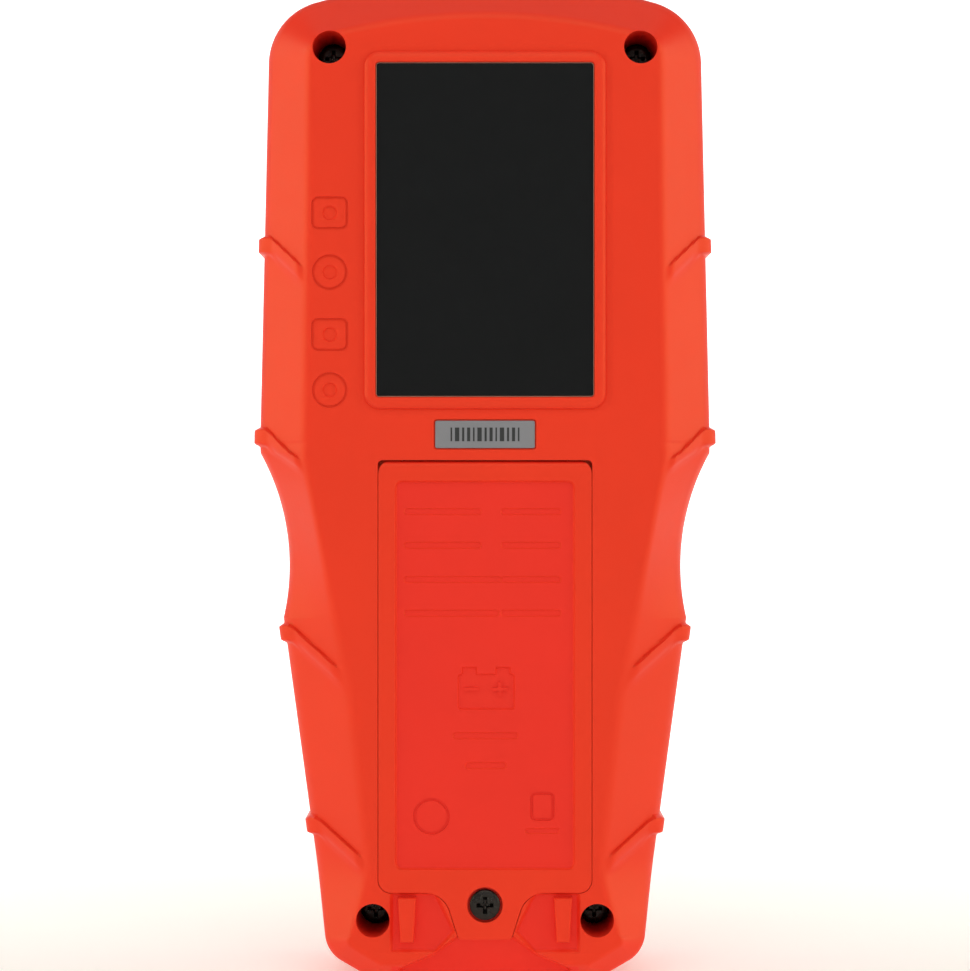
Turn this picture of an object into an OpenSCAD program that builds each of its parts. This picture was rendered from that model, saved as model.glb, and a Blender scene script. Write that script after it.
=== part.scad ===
// Handheld wall scanner, standing on its foot. +Z runs from the foot to the head,
// -Y is the back with the sensor pad and the battery door, +Y is the display side.

/* [Body outline] */
// Height from the foot to the top of the head
body_h = 163; // [161:1:166]
// Half-width at the shoulders
shoulder_w = 36.8; // [36:0.1:38]
// Height of the shoulders
shoulder_z = 87; // [86:0.5:88]
// Half-width where the foot's corners start
foot_w = 26; // [25.5:0.1:26.5]
// Height where the foot's corners start
foot_z = 8; // [7.5:0.1:8.5]
// Radius of the foot's corners
foot_r = 5.4; // [5:0.1:5.8]
// Slope of the foot's chamfers
foot_a = 30; // [28:1:32]
// Radius of the head's corners
head_r = 10.5; // [10:0.1:11.5]
// Height of the centre of the head's corners
head_z = 149; // [148:0.5:150]
// Half-width at the top of the sides
head_w = 35.4; // [35:0.1:36]
// Radius of the finger scoop in each side
scoop_r = 38; // [36:0.5:40]
// Half-width at the waist
waist_w = 32; // [31.5:0.1:32.5]
// Height of the waist
waist_z = 67; // [66:0.5:68]

/* [Body depth] */
// Back face of the rear housing
back_y = -16.7; // [-17:0.1:-16.5]
// Front face of the front housing
front_y = 16.6; // [16.4:0.1:17]
// Rim of the rear housing at the parting line
rear_rim_y = 1.5; // [1:0.1:2]
// Gap that shows at the parting line
reveal = 0.4; // [0.3:0.1:0.6]
// Depth at which the sloped sides start
slope_y = -9; // [-9.5:0.1:-8.5]
// Width of the slope round the head
slope_w = 7.2; // [6.8:0.1:7.5]
// Half-width of the flat back at the shoulders
flat_shoulder_w = 29; // [28.5:0.1:29.3]
// Half-width of the flat back under the waist
flat_waist_w = 21.6; // [21.2:0.1:22]
// Half-width of the flat back at its lower end
flat_foot_w = 19.2; // [19:0.1:19.5]
// Radius round the front face
front_r = 5; // [4:0.5:5.5]
// Wall thickness of both housings
wall = 2.2; // [2:0.1:2.4]
// Furthest point of the back: pad rim and foot ridges
back_proud_y = -17.5; // [-17.8:0.1:-17.3]

/* [Grip ribs] */
// Heights of the middles of the four ribs
rib_heights = [24.7, 56, 88, 119.2];
// Height of each rib
rib_h = 3.4; // [2.5:0.1:4]
// How far the ribs stand out
rib_out = 0.9; // [0.5:0.1:1.2]

/* [Sensor pad] */
// Width of the pad
pad_w = 34.9; // [34:0.1:36]
// Height of the pad
pad_h = 53.5; // [52:0.1:54.5]
// Thickness of the pad
pad_t = 1.4; // [1.2:0.1:1.5]
// Height of the pad's centre
pad_z = 121.1; // [120.5:0.1:121.5]
// Width of the rim round the pad
pad_rim = 1.75; // [1.4:0.05:2]

/* [Battery door] */
// Width of the door
door_w = 34.1; // [33.8:0.1:34.5]
// Lower edge of the door
door_z0 = 14.8; // [14.5:0.1:15]
// Upper edge of the door
door_z1 = 84; // [83.8:0.1:84.2]
// Thickness of the door
door_t = 2; // [1.8:0.1:2]
// Gap round the door
door_gap = 0.25; // [0.2:0.05:0.35]
// Half-width of the tongue below its flare
tongue_w = 5.4; // [5.2:0.1:5.6]
// Radius of the flare between the tongue and the door
tongue_r = 4.2; // [4:0.1:4.4]
// Half-width of the tongue at its tip
tongue_tip_w = 4.3; // [4.1:0.1:4.5]
// Height of the tongue's tip
tongue_z = 7.3; // [7.1:0.1:7.5]
// Height of the door screw
door_screw_z = 12.8; // [12.7:0.1:13]

/* [Case screws] */
// Distance of the upper wells from the middle
upper_well_x = 25; // [24.7:0.1:25.3]
// Height of the upper wells
upper_well_z = 150.5; // [150:0.1:151]
// Distance of the lower wells from the middle
lower_well_x = 18; // [17.8:0.1:18.2]
// Height of the lower wells
lower_well_z = 10.3; // [10:0.1:10.6]
// Radius of the wells
well_r = 2.7; // [2.6:0.05:2.8]

/* [Display side] */
// Height of the display's centre
display_z = 118; // [117:0.5:119]
// Width of the window
window_w = 46; // [44:0.5:47]
// Height of the window
window_h = 34; // [32:0.5:35]
// Travel of the keys
key_travel = 0.8; // [0.5:0.1:0.9]

/* [Hidden] */

$fn = 48;
slit = 0.1;
past = 1;
front_rim_y = rear_rim_y + reveal;
rear_inner_y = back_y + wall;
front_inner_y = front_y - wall;

scoop_x = waist_w + scoop_r;
side_slope = (shoulder_w - foot_w) / (shoulder_z - 1 - foot_z);
// The foot's chamfer meets the floor at this half-width.
foot_flat_w = foot_w - foot_r * (1 - sin(foot_a)) - (foot_z - foot_r * cos(foot_a)) / tan(foot_a);
head_x = head_w - head_r;
head_rise = body_h - head_z;
crown_r = (head_x * head_x + head_rise * head_rise - head_r * head_r) / (2 * (head_rise - head_r));
crown_z = body_h - crown_r;
crown_a = atan2(head_z - crown_z, head_x);

tray_w = 15.6;
tray_wall = 2.8;
tray_end = 1.4;
tray_head = 1.8;
tray_z0 = 16.2;
tray_z1 = 83;
tray_y = 4.05;
tray_floor = 1.2;
battery_size = [26.5, 17.5, 46.4];
battery_z = 17;
battery_y = tray_y - 0.1 - battery_size[1];
terminal_x = 6.35;
terminal_h = 2.6;
tab_x = [-10, 10];
tab_w = 6;
tab_reach = 2.3;
// The door turns about the middle of its rounded upper edge.
hinge_y = back_y + door_t / 2;
hinge_z = door_z1 - door_t / 2;
panel_size = [28.6, 62.2];
label_size = [16, 4.4];
ridge_x = 12.5;
ridge_z = 10.5;
notch_deep = 1.6;
notch_w = 15.5;
screw_r = 1.5;
screw_head_r = 2.5;
insert_r = 2.3;

board_y = 6;
board_t = 1.6;
board_face = board_y + board_t;
sensor_face = rear_inner_y + 1.3;
board_posts = [[-24, 92], [24, 92], [-22.5, 24], [22.5, 24]];
case_points = [[-upper_well_x, upper_well_z], [upper_well_x, upper_well_z],
               [-lower_well_x, lower_well_z], [lower_well_x, lower_well_z]];
boss_r = 4.4;
boss_y = 0;
seat_y = -2.6;
head_t = 1.8;
seal_in = 0.75;
seal_w = 0.7;
seal_deep = 0.8;
mat_y = 11.4;
mat_t = 0.9;
mat_pegs = [[-16, 64], [16, 64], [-16, 42], [16, 42]];
switch_h = 2;
label_z = 88.3;
pipe_z = 146.5;
pipe_x = [-12, 0, 12];
power_at = [0, 54];
mode_at = [-15, 76];
alarm_at = [15, 76];
hold_at = [0, 32];
key_top_y = 17.5;
power_r = 8;
side_key = [16, 9];
hold_key = [14, 8];
key_points = [power_at, mode_at, alarm_at, hold_at];

// The leads' routes, from the clip to the main board, [x, y, z].
red_route = [[4, -5, 68.6], [4, -5, 71], [4.6, -4, 75], [5.4, -1.5, 79.5], [5.8, 0.5, 84],
             [6, 2.4, 88], [6, 4, 90.4], [6, 5, 91.2], [6, 6, 91.4]];
black_route = [for (p = red_route) [-p[0], p[1], p[2]]];

// ---- outline -------------------------------------------------------------

function arc(cx, cz, r, a0, a1, n) =
    [for (i = [0:n]) let (a = a0 + (a1 - a0) * i / n) [cx + r * cos(a), cz + r * sin(a)]];

// Half-width of the straight lower side at height z.
function side_w(z) = foot_w + side_slope * (z - foot_z);

// Half-width of the straight upper side at height z.
function upper_w(z) = shoulder_w + (head_w - shoulder_w) * (z - shoulder_z) / (head_z - shoulder_z);

// Half-width of the scoop's arc at height z.
function scoop_w(z) = scoop_x - sqrt(scoop_r * scoop_r - (z - waist_z) * (z - waist_z));

scoop_z0 = waist_z - 8.5;
scoop_z1 = shoulder_z - 1.6;
scoop_a0 = 180 + asin((waist_z - scoop_z0) / scoop_r);
scoop_a1 = 180 - asin((scoop_z1 - waist_z) / scoop_r);

half_outline = concat(
    [[foot_flat_w, 0]],
    arc(foot_w - foot_r, foot_z, foot_r, foot_a - 90, -6, 5),
    [for (z = [14:8:54]) [side_w(z), z]],
    arc(scoop_x, waist_z, scoop_r, scoop_a0, scoop_a1, 9),
    [[shoulder_w, shoulder_z]],
    [for (z = [100:20:140]) [upper_w(z), z]],
    arc(head_x, head_z, head_r, 0, crown_a, 7),
    [for (i = [1:4]) let (a = crown_a + (90 - crown_a) * i / 5)
        [crown_r * cos(a), crown_z + crown_r * sin(a)]]);
half_n = len(half_outline);
outline = concat(half_outline,
    [for (i = [0:half_n - 1]) let (p = half_outline[half_n - 1 - i]) [-p[0], p[1]]]);
outline_n = len(outline);

// Inward direction at each point of the outline: level on the sides, square to the edge at the corners.
inward = [for (i = [0:outline_n - 1])
    let (p = outline[i], before = outline[(i + outline_n - 1) % outline_n],
         after = outline[(i + 1) % outline_n], t = (after - before) / norm(after - before))
    p[1] > foot_z && p[1] < head_z ? [-sign(p[0]), 0] : [-t[1], t[0]]];

function smooth(a, b, z) = let (t = min(1, max(0, (z - a) / (b - a)))) t * t * (3 - 2 * t);

// Half-width of the body at height z, away from its corners.
function body_w(z) = z > shoulder_z ? upper_w(z) : z > scoop_z0 && z < scoop_z1 ? scoop_w(z) : side_w(z);

// Half-width of the flat back at height z: it tapers most beside the waist.
function flat_w(z) = let (low = 24, waist = 46, high = 84)
    z < waist ? flat_foot_w + (flat_waist_w - flat_foot_w) * (z - low) / (waist - low)
    : z < high ? flat_waist_w + (flat_shoulder_w - flat_waist_w) * (z - waist) / (high - waist)
    : flat_shoulder_w - 0.013 * (z - high);

// Width and depth of the sloped side at height z. Both shrink at the foot.
function slope_at(z) = let (side = body_w(z) - flat_w(z), head = smooth(130, 149, z))
    (side * (1 - head) + slope_w * head) * (0.4 + 0.6 * smooth(2, 20, z));
function fall_at(z) = (slope_y - back_y) * (0.4 + 0.6 * smooth(2, 20, z));

// One flat ring of the body, moved in by g.
function ring(y, g) = [for (i = [0:outline_n - 1])
    let (p = outline[i] + inward[i] * g) [p[0], y, p[1]]];

// One ring on the sloped side: u is its share of the slope's depth and t of its width.
function slope_ring(u, t, g) = [for (i = [0:outline_n - 1])
    let (z = outline[i][1], p = outline[i] + inward[i] * (t * slope_at(z) + g))
        [p[0], back_y + u * fall_at(z), p[1]]];

// Joins rings into one solid. The two ends are closed by strips from side to side.
module loft(rings) {
    n = outline_n;
    last = (len(rings) - 1) * n;
    sides = [for (k = [0:len(rings) - 2], i = [0:n - 1]) let (j = (i + 1) % n)
        [k * n + i, (k + 1) * n + i, (k + 1) * n + j, k * n + j]];
    near_end = [for (i = [0:half_n - 2]) [i, i + 1, n - 2 - i, n - 1 - i]];
    far_end = [for (f = near_end) [for (i = [3:-1:0]) last + f[i]]];
    polyhedron(points = [for (r = rings) each r], faces = concat(near_end, far_end, sides));
}

module rear_form() {
    loft([ring(rear_rim_y, 0), slope_ring(1.08, 0, 0), slope_ring(0.96, 0.06, 0),
          slope_ring(0.08, 0.92, 0), slope_ring(0.02, 1.04, 0), slope_ring(0, 1.14, 0)]);
}

module rear_cavity() {
    floor_ring = [for (p = slope_ring(0, 0.83, wall)) [p[0], rear_inner_y, p[2]]];
    loft([ring(rear_rim_y + past, wall), slope_ring(1.11, 0, wall), floor_ring]);
}

module front_form() {
    loft([ring(front_y, front_r),
          for (a = [67.5:-22.5:0]) ring(front_y - front_r * (1 - sin(a)), front_r * (1 - cos(a))),
          ring(front_rim_y, 0)]);
}

module front_cavity() {
    loft([ring(front_inner_y, front_r), ring(front_inner_y - (front_r - wall), wall),
          ring(front_rim_y - past, wall)]);
}

// ---- helpers -------------------------------------------------------------

// A flat shape in X and Z, from y0 to y1.
module slab(y0, y1) {
    translate([0, y1, 0]) rotate([90, 0, 0]) linear_extrude(y1 - y0) children();
}

// A round rod or bore along Y.
module rod(x, z, r, y0, y1) {
    translate([x, y1, z]) rotate([90, 0, 0]) cylinder(r = r, h = y1 - y0);
}

function rounded(w, h, r, n = 6) = concat(
    arc(w / 2 - r, h / 2 - r, r, 0, 90, n), arc(r - w / 2, h / 2 - r, r, 90, 180, n),
    arc(r - w / 2, r - h / 2, r, 180, 270, n), arc(w / 2 - r, r - h / 2, r, 270, 360, n));

module rounded_plate(x, z, w, h, r, y0, y1) {
    slab(y0, y1) translate([x, z]) polygon(rounded(w, h, r));
}

module block(x0, x1, y0, y1, z0, z1) {
    translate([x0, y0, z0]) cube([x1 - x0, y1 - y0, z1 - z0]);
}

module cross_recess(x, z, y0, y1, reach) {
    for (turn = [0, 90])
        translate([x, 0, z]) rotate([0, turn, 0]) block(-reach, reach, y0, y1, -0.3, 0.3);
}

// Door outline: a rounded rectangle with a tongue whose sides flare in a curve.
function tongue_side(g) = concat(
    arc(tongue_w + tongue_r, door_z0 - tongue_r, tongue_r - g, 90, 165, 6),
    [[tongue_tip_w + g, tongue_z + 0.8], [tongue_tip_w - 0.8 + g, tongue_z - g]]);

module door_shape(g) {
    right = tongue_side(g);
    n = len(right);
    polygon(concat([[-door_w / 4, door_z0 + 3], [door_w / 4, door_z0 + 3]], right,
                   [for (i = [1:n]) [-right[n - i][0], right[n - i][1]]]));
    translate([0, (door_z0 + door_z1) / 2])
        polygon(rounded(door_w + 2 * g, door_z1 - door_z0 + 2 * g, 2 + g));
}

// The recess is squarer at its upper corners, where the door's corners rise as it opens.
module door_recess() {
    door_shape(door_gap);
    translate([0, door_z1 + door_gap - 6]) polygon(rounded(door_w + 2 * door_gap, 12, 1.4));
}

// A lead swept along its route, as one tube of eight sides.
module lead(route, r) {
    n = 8;
    m = len(route);
    along = [for (k = [0:m - 1])
        let (d = route[min(k + 1, m - 1)] - route[max(k - 1, 0)]) d / norm(d)];
    points = [for (k = [0:m - 1]) let (s = [1, 0, 0], u = cross(along[k], s) / norm(cross(along[k], s)),
                                       v = cross(u, along[k]))
        for (i = [0:n - 1]) route[k] + r * (cos(i * 45) * v + sin(i * 45) * u)];
    sides = [for (k = [0:m - 2], i = [0:n - 1]) let (j = (i + 1) % n)
        [k * n + i, k * n + j, (k + 1) * n + j, (k + 1) * n + i]];
    polyhedron(points = points, faces = concat([[for (i = [0:n - 1]) n - 1 - i]],
                                               [[for (i = [0:n - 1]) (m - 1) * n + i]], sides));
}

// ---- housings ------------------------------------------------------------

// Grip ribs on both side walls, from y0 to y1.
module side_ribs(y0, y1) {
    for (turn = [0, 1], z = rib_heights) mirror([turn, 0, 0])
        slab(y0, y1) translate([body_w(z) + rib_out - 1.5, z]) polygon(rounded(3, rib_h, 0.8, 3));
}

// Each rib runs on down the sloped side as a slanting bar.
module slope_ribs() {
    for (turn = [0, 1], z = rib_heights) mirror([turn, 0, 0])
        translate([(body_w(z) + flat_w(z)) / 2 - 0.1, (slope_y + back_y) / 2 + 0.15, z - 2.6])
            rotate([0, 0, atan2(fall_at(z), slope_at(z))]) rotate([0, -31, 0])
                cube([slope_at(z) * 1.25, 1.4, 1.8], center = true);
}

module tray_outside() {
    block(-tray_w - tray_wall, tray_w + tray_wall, back_y + 0.5, tray_y + tray_floor,
          tray_z0 - tray_end, tray_z1 + tray_head);
}

module tray_inside() {
    block(-tray_w, tray_w, back_y - past, tray_y, tray_z0, tray_z1);
    block(-9, 9, -6, 2.6, tray_z1 - past, tray_z1 + tray_head + past);
    // Slots for the door's tabs, open to the door's recess.
    for (x = tab_x)
        block(x - tab_w / 2 - 0.4, x + tab_w / 2 + 0.4, back_y + door_t, -8.5,
              tray_z1 - past, tray_z1 + tray_head + past);
}

module rear_cuts() {
    // Recess for the pad, for the label and for the door.
    rounded_plate(0, pad_z, pad_w + 0.1, pad_h + 0.1, 0.6, back_proud_y - past, back_proud_y + 0.3 + pad_t);
    rounded_plate(0, label_z, label_size[0] + 0.5, label_size[1] + 0.5, 0.5, back_y - past, back_y + 0.5);
    slab(back_y - past, back_y + door_t + slit) door_recess();
    tray_inside();
    // Finger notch under the tongue.
    slab(back_y - past, back_y + notch_deep)
        polygon([[-5, tongue_z + 0.6], [5, tongue_z + 0.6], [notch_w, 1], [notch_w, -1],
                 [-notch_w, -1], [-notch_w, 1]]);
    // Door screw: clearance, then the pocket of the insert.
    rod(0, door_screw_z, 2, back_y, -9.2);
    for (p = case_points) {
        rod(p[0], p[1], well_r, back_proud_y - past, seat_y);
        rod(p[0], p[1], screw_r + 0.15, back_y, boss_y + past);
    }
    // Groove of the seal.
    seal_ring();
}

module rear_housing() color([0.93, 0.25, 0.17]) difference() {
    union() {
        difference() {
            union() {
                rear_form();
                side_ribs(slope_y, rear_rim_y);
                slope_ribs();
            }
            difference() {
                rear_cavity();
                tray_outside();
                for (p = case_points) rod(p[0], p[1], boss_r, back_y, boss_y);
                rod(0, door_screw_z, 4.4, back_y, -8);
                block(-12, 12, back_y, -11.5, 1, 10);
            }
        }
        // Rim round the pad.
        rounded_plate(0, pad_z, pad_w + 2 * pad_rim, pad_h + 2 * pad_rim, 1.6, back_proud_y, back_y + 0.5);
        // Foot ridges beside the lower wells.
        for (side = [-1, 1])
            rounded_plate(side * ridge_x, ridge_z, 2.6, 7.2, 0.6, back_proud_y, back_y + 0.5);
    }
    rear_cuts();
}

module key_hole_shapes(gap) {
    translate(power_at) circle(r = power_r + gap);
    for (p = [mode_at, alarm_at])
        translate(p) polygon(rounded(side_key[0] + 2 * gap, side_key[1] + 2 * gap, 4.4 + gap));
    translate(hold_at) polygon(rounded(hold_key[0] + 2 * gap, hold_key[1] + 2 * gap, 3.9 + gap));
}

module front_shell() difference() {
    union() {
        front_form();
        side_ribs(front_rim_y, front_y - front_r);
    }
    difference() {
        front_cavity();
        for (p = board_posts) rod(p[0], p[1], 2.4, board_face, front_y - 1);
        for (p = mat_pegs) rod(p[0], p[1], 1.5, mat_y - 0.6, front_y - 1);
    }
}

module front_housing() color([0.93, 0.27, 0.18]) difference() {
    union() {
        front_shell();
        for (p = case_points) rod(p[0], p[1], boss_r, boss_y + 0.2, front_inner_y + 0.8);
    }
    rounded_plate(0, display_z, 58.2, 46.2, 5.1, front_y - 0.8, front_y + past);
    rounded_plate(0, display_z, 50.4, 38.4, 3.2, front_y - 1.6, front_y + past);
    rounded_plate(0, display_z, window_w, window_h, 2, front_inner_y - past, front_y + past);
    slab(front_inner_y - past, front_y + past) key_hole_shapes(0.2);
    for (x = pipe_x) rod(x, pipe_z, 1.7, front_inner_y - past, front_y + past);
    for (p = board_posts) rod(p[0], p[1], 1.05, board_face - past, 13);
    for (p = case_points) {
        rod(p[0], p[1], insert_r, boss_y - past, 7);
        rod(p[0], p[1], screw_r + 0.15, 6.5, 11.5);
    }
}

// Soft bead in the joint between the shells.
module seal_ring() {
    difference() {
        loft([ring(front_rim_y, seal_in), ring(rear_rim_y - seal_deep, seal_in)]);
        loft([ring(front_rim_y + past, seal_in + seal_w),
              ring(rear_rim_y - seal_deep - past, seal_in + seal_w)]);
    }
}

module housing_seal() color([0.12, 0.12, 0.13]) seal_ring();

module case_screws() color([0.12, 0.12, 0.12]) for (p = case_points)
    difference() {
        union() {
            rod(p[0], p[1], screw_head_r, seat_y - head_t, seat_y);
            rod(p[0], p[1], screw_r, seat_y - head_t / 2, 9);
        }
        cross_recess(p[0], p[1], seat_y - head_t - past, seat_y - 0.8, 1.4);
    }

module case_inserts() color([0.75, 0.6, 0.3]) for (p = case_points)
    difference() {
        rod(p[0], p[1], insert_r, boss_y + 0.5, 7);
        rod(p[0], p[1], screw_r + 0.05, 0, 8);
    }

// ---- back ----------------------------------------------------------------

module sensor_pad() color([0.12, 0.12, 0.13])
    rounded_plate(0, pad_z, pad_w, pad_h, 0.5, back_proud_y + 0.3, back_proud_y + 0.3 + pad_t);

module label_plate() color([0.54, 0.56, 0.59])
    rounded_plate(0, label_z, label_size[0], label_size[1], 0.3, back_y + 0.1, back_y + 0.5);

// The door's plate. Its upper edge is round, as the door turns in its recess.
module door_plate() intersection() {
    slab(back_y, back_y + door_t) door_shape(0);
    union() {
        block(-door_w, door_w, back_y - past, back_y + door_t + past, 0, hinge_z);
        translate([-door_w, hinge_y, hinge_z]) rotate([0, 90, 0]) cylinder(r = door_t / 2, h = 2 * door_w);
    }
}

// Two tabs reach under the wall above the door and hold its upper end.
module door_tabs() {
    tab_y = back_y + door_t + 1.6;
    for (x = tab_x) {
        block(x - tab_w / 2, x + tab_w / 2, back_y + door_t - 0.6, tab_y, door_z1 - 2.5, hinge_z);
        block(x - tab_w / 2, x + tab_w / 2, rear_inner_y + 0.15, tab_y, door_z1 - 2.5, door_z1 + tab_reach);
    }
}

module battery_door() color([0.92, 0.24, 0.17]) difference() {
    union() {
        door_plate();
        door_tabs();
    }
    rounded_plate(0, (door_z0 + door_z1) / 2 + 0.25, panel_size[0], panel_size[1], 1,
                  back_y - past, back_y + 0.4);
    rod(0, door_screw_z, 2.8, back_y - past, back_y + 1);
    rod(0, door_screw_z, 1.5, back_y - past, back_y + door_t + past);
}

module door_foam() color([0.2, 0.2, 0.21])
    block(-11, 11, back_y + door_t, battery_y, 24, 54);

module door_screw() color([0.08, 0.08, 0.08]) difference() {
    union() {
        rod(0, door_screw_z, 2.45, back_y - 0.2, back_y + 1);
        rod(0, door_screw_z, 1.3, back_y + 0.5, -10.6);
    }
    cross_recess(0, door_screw_z, back_y - past, back_y + 0.5, 1.5);
}

module door_insert() color([0.75, 0.6, 0.3]) difference() {
    rod(0, door_screw_z, 2, back_y + door_t + 0.4, -9.8);
    rod(0, door_screw_z, 1.55, back_y, -9);
}

// ---- display side --------------------------------------------------------

module front_bezel() color([0.14, 0.14, 0.15]) difference() {
    rounded_plate(0, display_z, 58, 46, 5, front_y - 0.8, front_y + 0.5);
    rounded_plate(0, display_z, 50.6, 38.6, 3.3, front_y - past, front_y + past);
}

module display_lens() color([0.75, 0.8, 0.82, 0.5])
    rounded_plate(0, display_z, 50.2, 38.2, 3.1, front_y - 1.6, front_y + 0.1);

module lcd_frame() color([0.85, 0.85, 0.82]) difference() {
    block(-26.5, 26.5, board_face, 14.2, display_z - 21.5, display_z + 21.5);
    block(-24.6, 24.6, 9, 15, display_z - 20, display_z + 20);
    block(-23, 23, board_face - past, 15, display_z - 19.5, display_z - 16.5);
}

module backlight() color([0.95, 0.95, 0.9])
    block(-23.5, 23.5, 9, 11.5, display_z - 15.5, display_z + 19);

module lcd_glass() color([0.55, 0.6, 0.5])
    block(-24.4, 24.4, 11.6, 13.8, display_z - 19.8, display_z + 19.8);

module lcd_connector() color([0.8, 0.5, 0.55])
    block(-22, 22, board_face, 11.6, display_z - 19.2, display_z - 16.8);

// A key: cap, flange under the wall, and a stem above its switch.
module key(at) {
    slab(13.8, key_top_y) children(0);
    slab(mat_y + mat_t + key_travel + 2 * slit, front_inner_y - 2 * slit) children(1);
    rod(at[0], at[1], 2.4, board_face + switch_h + key_travel + slit, 13.6);
}

module power_button() color([0.2, 0.2, 0.21]) key(power_at) {
    translate(power_at) circle(r = power_r);
    translate(power_at) circle(r = power_r + 1.2);
}

module side_button(at) {
    key(at) {
        translate(at) polygon(rounded(side_key[0], side_key[1], 4.4));
        translate(at) polygon(rounded(side_key[0] + 2.4, side_key[1] + 2.4, 5.6));
    }
}

module mode_button() color([0.2, 0.2, 0.21]) side_button(mode_at);

module alarm_button() color([0.2, 0.2, 0.21]) side_button(alarm_at);

module hold_button() color([0.2, 0.2, 0.21]) key(hold_at) {
    translate(hold_at) polygon(rounded(hold_key[0], hold_key[1], 3.9));
    translate(hold_at) polygon(rounded(hold_key[0] + 2.4, hold_key[1] + 2.4, 5.1));
}

module keypad_mat() color([0.3, 0.3, 0.32]) difference() {
    rounded_plate(0, 55, 38, 60, 4, mat_y, mat_y + mat_t);
    for (p = key_points) rod(p[0], p[1], 2.9, mat_y - past, mat_y + 2 * past);
    for (p = mat_pegs) rod(p[0], p[1], 1.6, mat_y - past, mat_y + 2 * past);
}

module key_switches() color([0.1, 0.1, 0.1]) for (p = key_points) {
    block(p[0] - 3, p[0] + 3, board_face, board_face + 1.4, p[1] - 3, p[1] + 3);
    rod(p[0], p[1], 1.6, board_face + 1, board_face + switch_h);
}

module light_pipe(x) {
    rod(x, pipe_z, 1.6, 10, front_y + 0.3);
    rod(x, pipe_z, 2.6, 12.6, front_inner_y);
}

module light_pipe_green() color([0.2, 0.75, 0.3]) light_pipe(pipe_x[0]);

module light_pipe_amber() color([0.95, 0.65, 0.15]) light_pipe(pipe_x[1]);

module light_pipe_red() color([0.85, 0.12, 0.1]) light_pipe(pipe_x[2]);

module indicator_leds() color([0.95, 0.95, 0.85]) for (x = pipe_x)
    block(x - 1.6, x + 1.6, board_face, board_face + 1.9, pipe_z - 1.4, pipe_z + 1.4);

// ---- boards --------------------------------------------------------------

module main_board() color([0.1, 0.38, 0.22]) difference() {
    slab(board_y, board_face) difference() {
        polygon([for (i = [0:outline_n - 1]) outline[i] + inward[i] * 4.5]);
        for (p = case_points) translate(p) circle(r = boss_r + 0.6);
    }
    for (p = board_posts) rod(p[0], p[1], 1.1, board_y - past, board_face + past);
}

module microcontroller() color([0.1, 0.1, 0.11])
    block(-5, 5, board_face, board_face + 1.4, 85, 95);

module board_parts() color([0.75, 0.65, 0.4]) {
    for (x = [-17, -13, 13, 17]) block(x - 1, x + 1, board_face, board_face + 0.8, 88, 89.3);
    for (z = [40, 44, 48], x = [-12, 12]) block(x - 1, x + 1, board_face, board_face + 0.8, z, z + 1.3);
    rod(-9.5, 66, 2.2, board_face, board_face + 2.4);
    block(6, 12, board_face, board_face + 2.2, 64, 68);
}

module piezo_buzzer() color([0.12, 0.12, 0.12]) difference() {
    rod(0, 17, 6.5, board_face, 11.2);
    rod(0, 17, 1, 10, 12);
}

module board_screws() color([0.8, 0.8, 0.82]) for (p = board_posts) difference() {
    union() {
        rod(p[0], p[1], 2, board_y - 1.4, board_y);
        rod(p[0], p[1], 1, board_y - 0.2, 12.5);
    }
    cross_recess(p[0], p[1], board_y - 2, board_y - 0.8, 1.1);
}

module sensor_board() color([0.1, 0.38, 0.22])
    block(-16.5, 16.5, rear_inner_y, sensor_face, pad_z - 25, pad_z + 25);

module sensor_shield() color([0.75, 0.76, 0.78]) difference() {
    block(-14, 14, sensor_face, -9.6, pad_z - 14, pad_z + 22);
    block(-13.6, 13.6, rear_inner_y, -10, pad_z - 13.6, pad_z + 21.6);
}

// Flat cable folded between the two boards.
module sensor_ribbon() color([0.85, 0.8, 0.7])
    translate([-6, 0, 0]) rotate([90, 0, 90]) linear_extrude(12)
        polygon([[sensor_face, 99], [-12.5, 99], [-12.5, 99.6], [-6, 99.6], [4.4, 102.6], [4.4, 105],
                 [4.1, 105], [4.1, 102.85], [-6.1, 99.9], [-12.8, 99.9], [-12.8, 103],
                 [sensor_face, 103]]);

module ribbon_socket() color([0.92, 0.92, 0.88])
    block(-7.5, 7.5, 4.4, board_y, 102, 106.5);

// ---- battery -------------------------------------------------------------

module battery() color([0.25, 0.27, 0.3]) rounded_battery();

module rounded_battery() {
    translate([0, battery_y + battery_size[1] / 2, battery_z]) linear_extrude(battery_size[2])
        polygon(rounded(battery_size[0], battery_size[1], 2));
}

module battery_terminals() color([0.8, 0.8, 0.82]) for (side = [-1, 1])
    translate([side * terminal_x, battery_y + battery_size[1] / 2, battery_z + battery_size[2]])
        difference() {
            cylinder(r = side > 0 ? 2.9 : 3.6, h = terminal_h);
            translate([0, 0, 0.6]) cylinder(r = side > 0 ? 2 : 2.7, h = terminal_h, $fn = side > 0 ? 48 : 6);
        }

module battery_clip() color([0.13, 0.13, 0.14]) {
    clip_z = battery_z + battery_size[2] + terminal_h;
    translate([0, battery_y + battery_size[1] / 2, clip_z]) linear_extrude(2.6)
        polygon(rounded(25, 12.5, 2));
}

module lead_red() color([0.75, 0.1, 0.1]) lead(red_route, 0.6);

module lead_black() color([0.08, 0.08, 0.08]) lead(black_route, 0.6);

rear_housing();
front_housing();
housing_seal();
sensor_pad();
label_plate();
battery_door();
door_foam();
door_screw();
door_insert();
case_screws();
case_inserts();
front_bezel();
display_lens();
lcd_frame();
lcd_glass();
backlight();
lcd_connector();
power_button();
mode_button();
alarm_button();
hold_button();
keypad_mat();
key_switches();
light_pipe_green();
light_pipe_amber();
light_pipe_red();
indicator_leds();
main_board();
microcontroller();
board_parts();
piezo_buzzer();
board_screws();
sensor_board();
sensor_shield();
sensor_ribbon();
ribbon_socket();
battery();
battery_terminals();
battery_clip();
lead_red();
lead_black();
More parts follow.
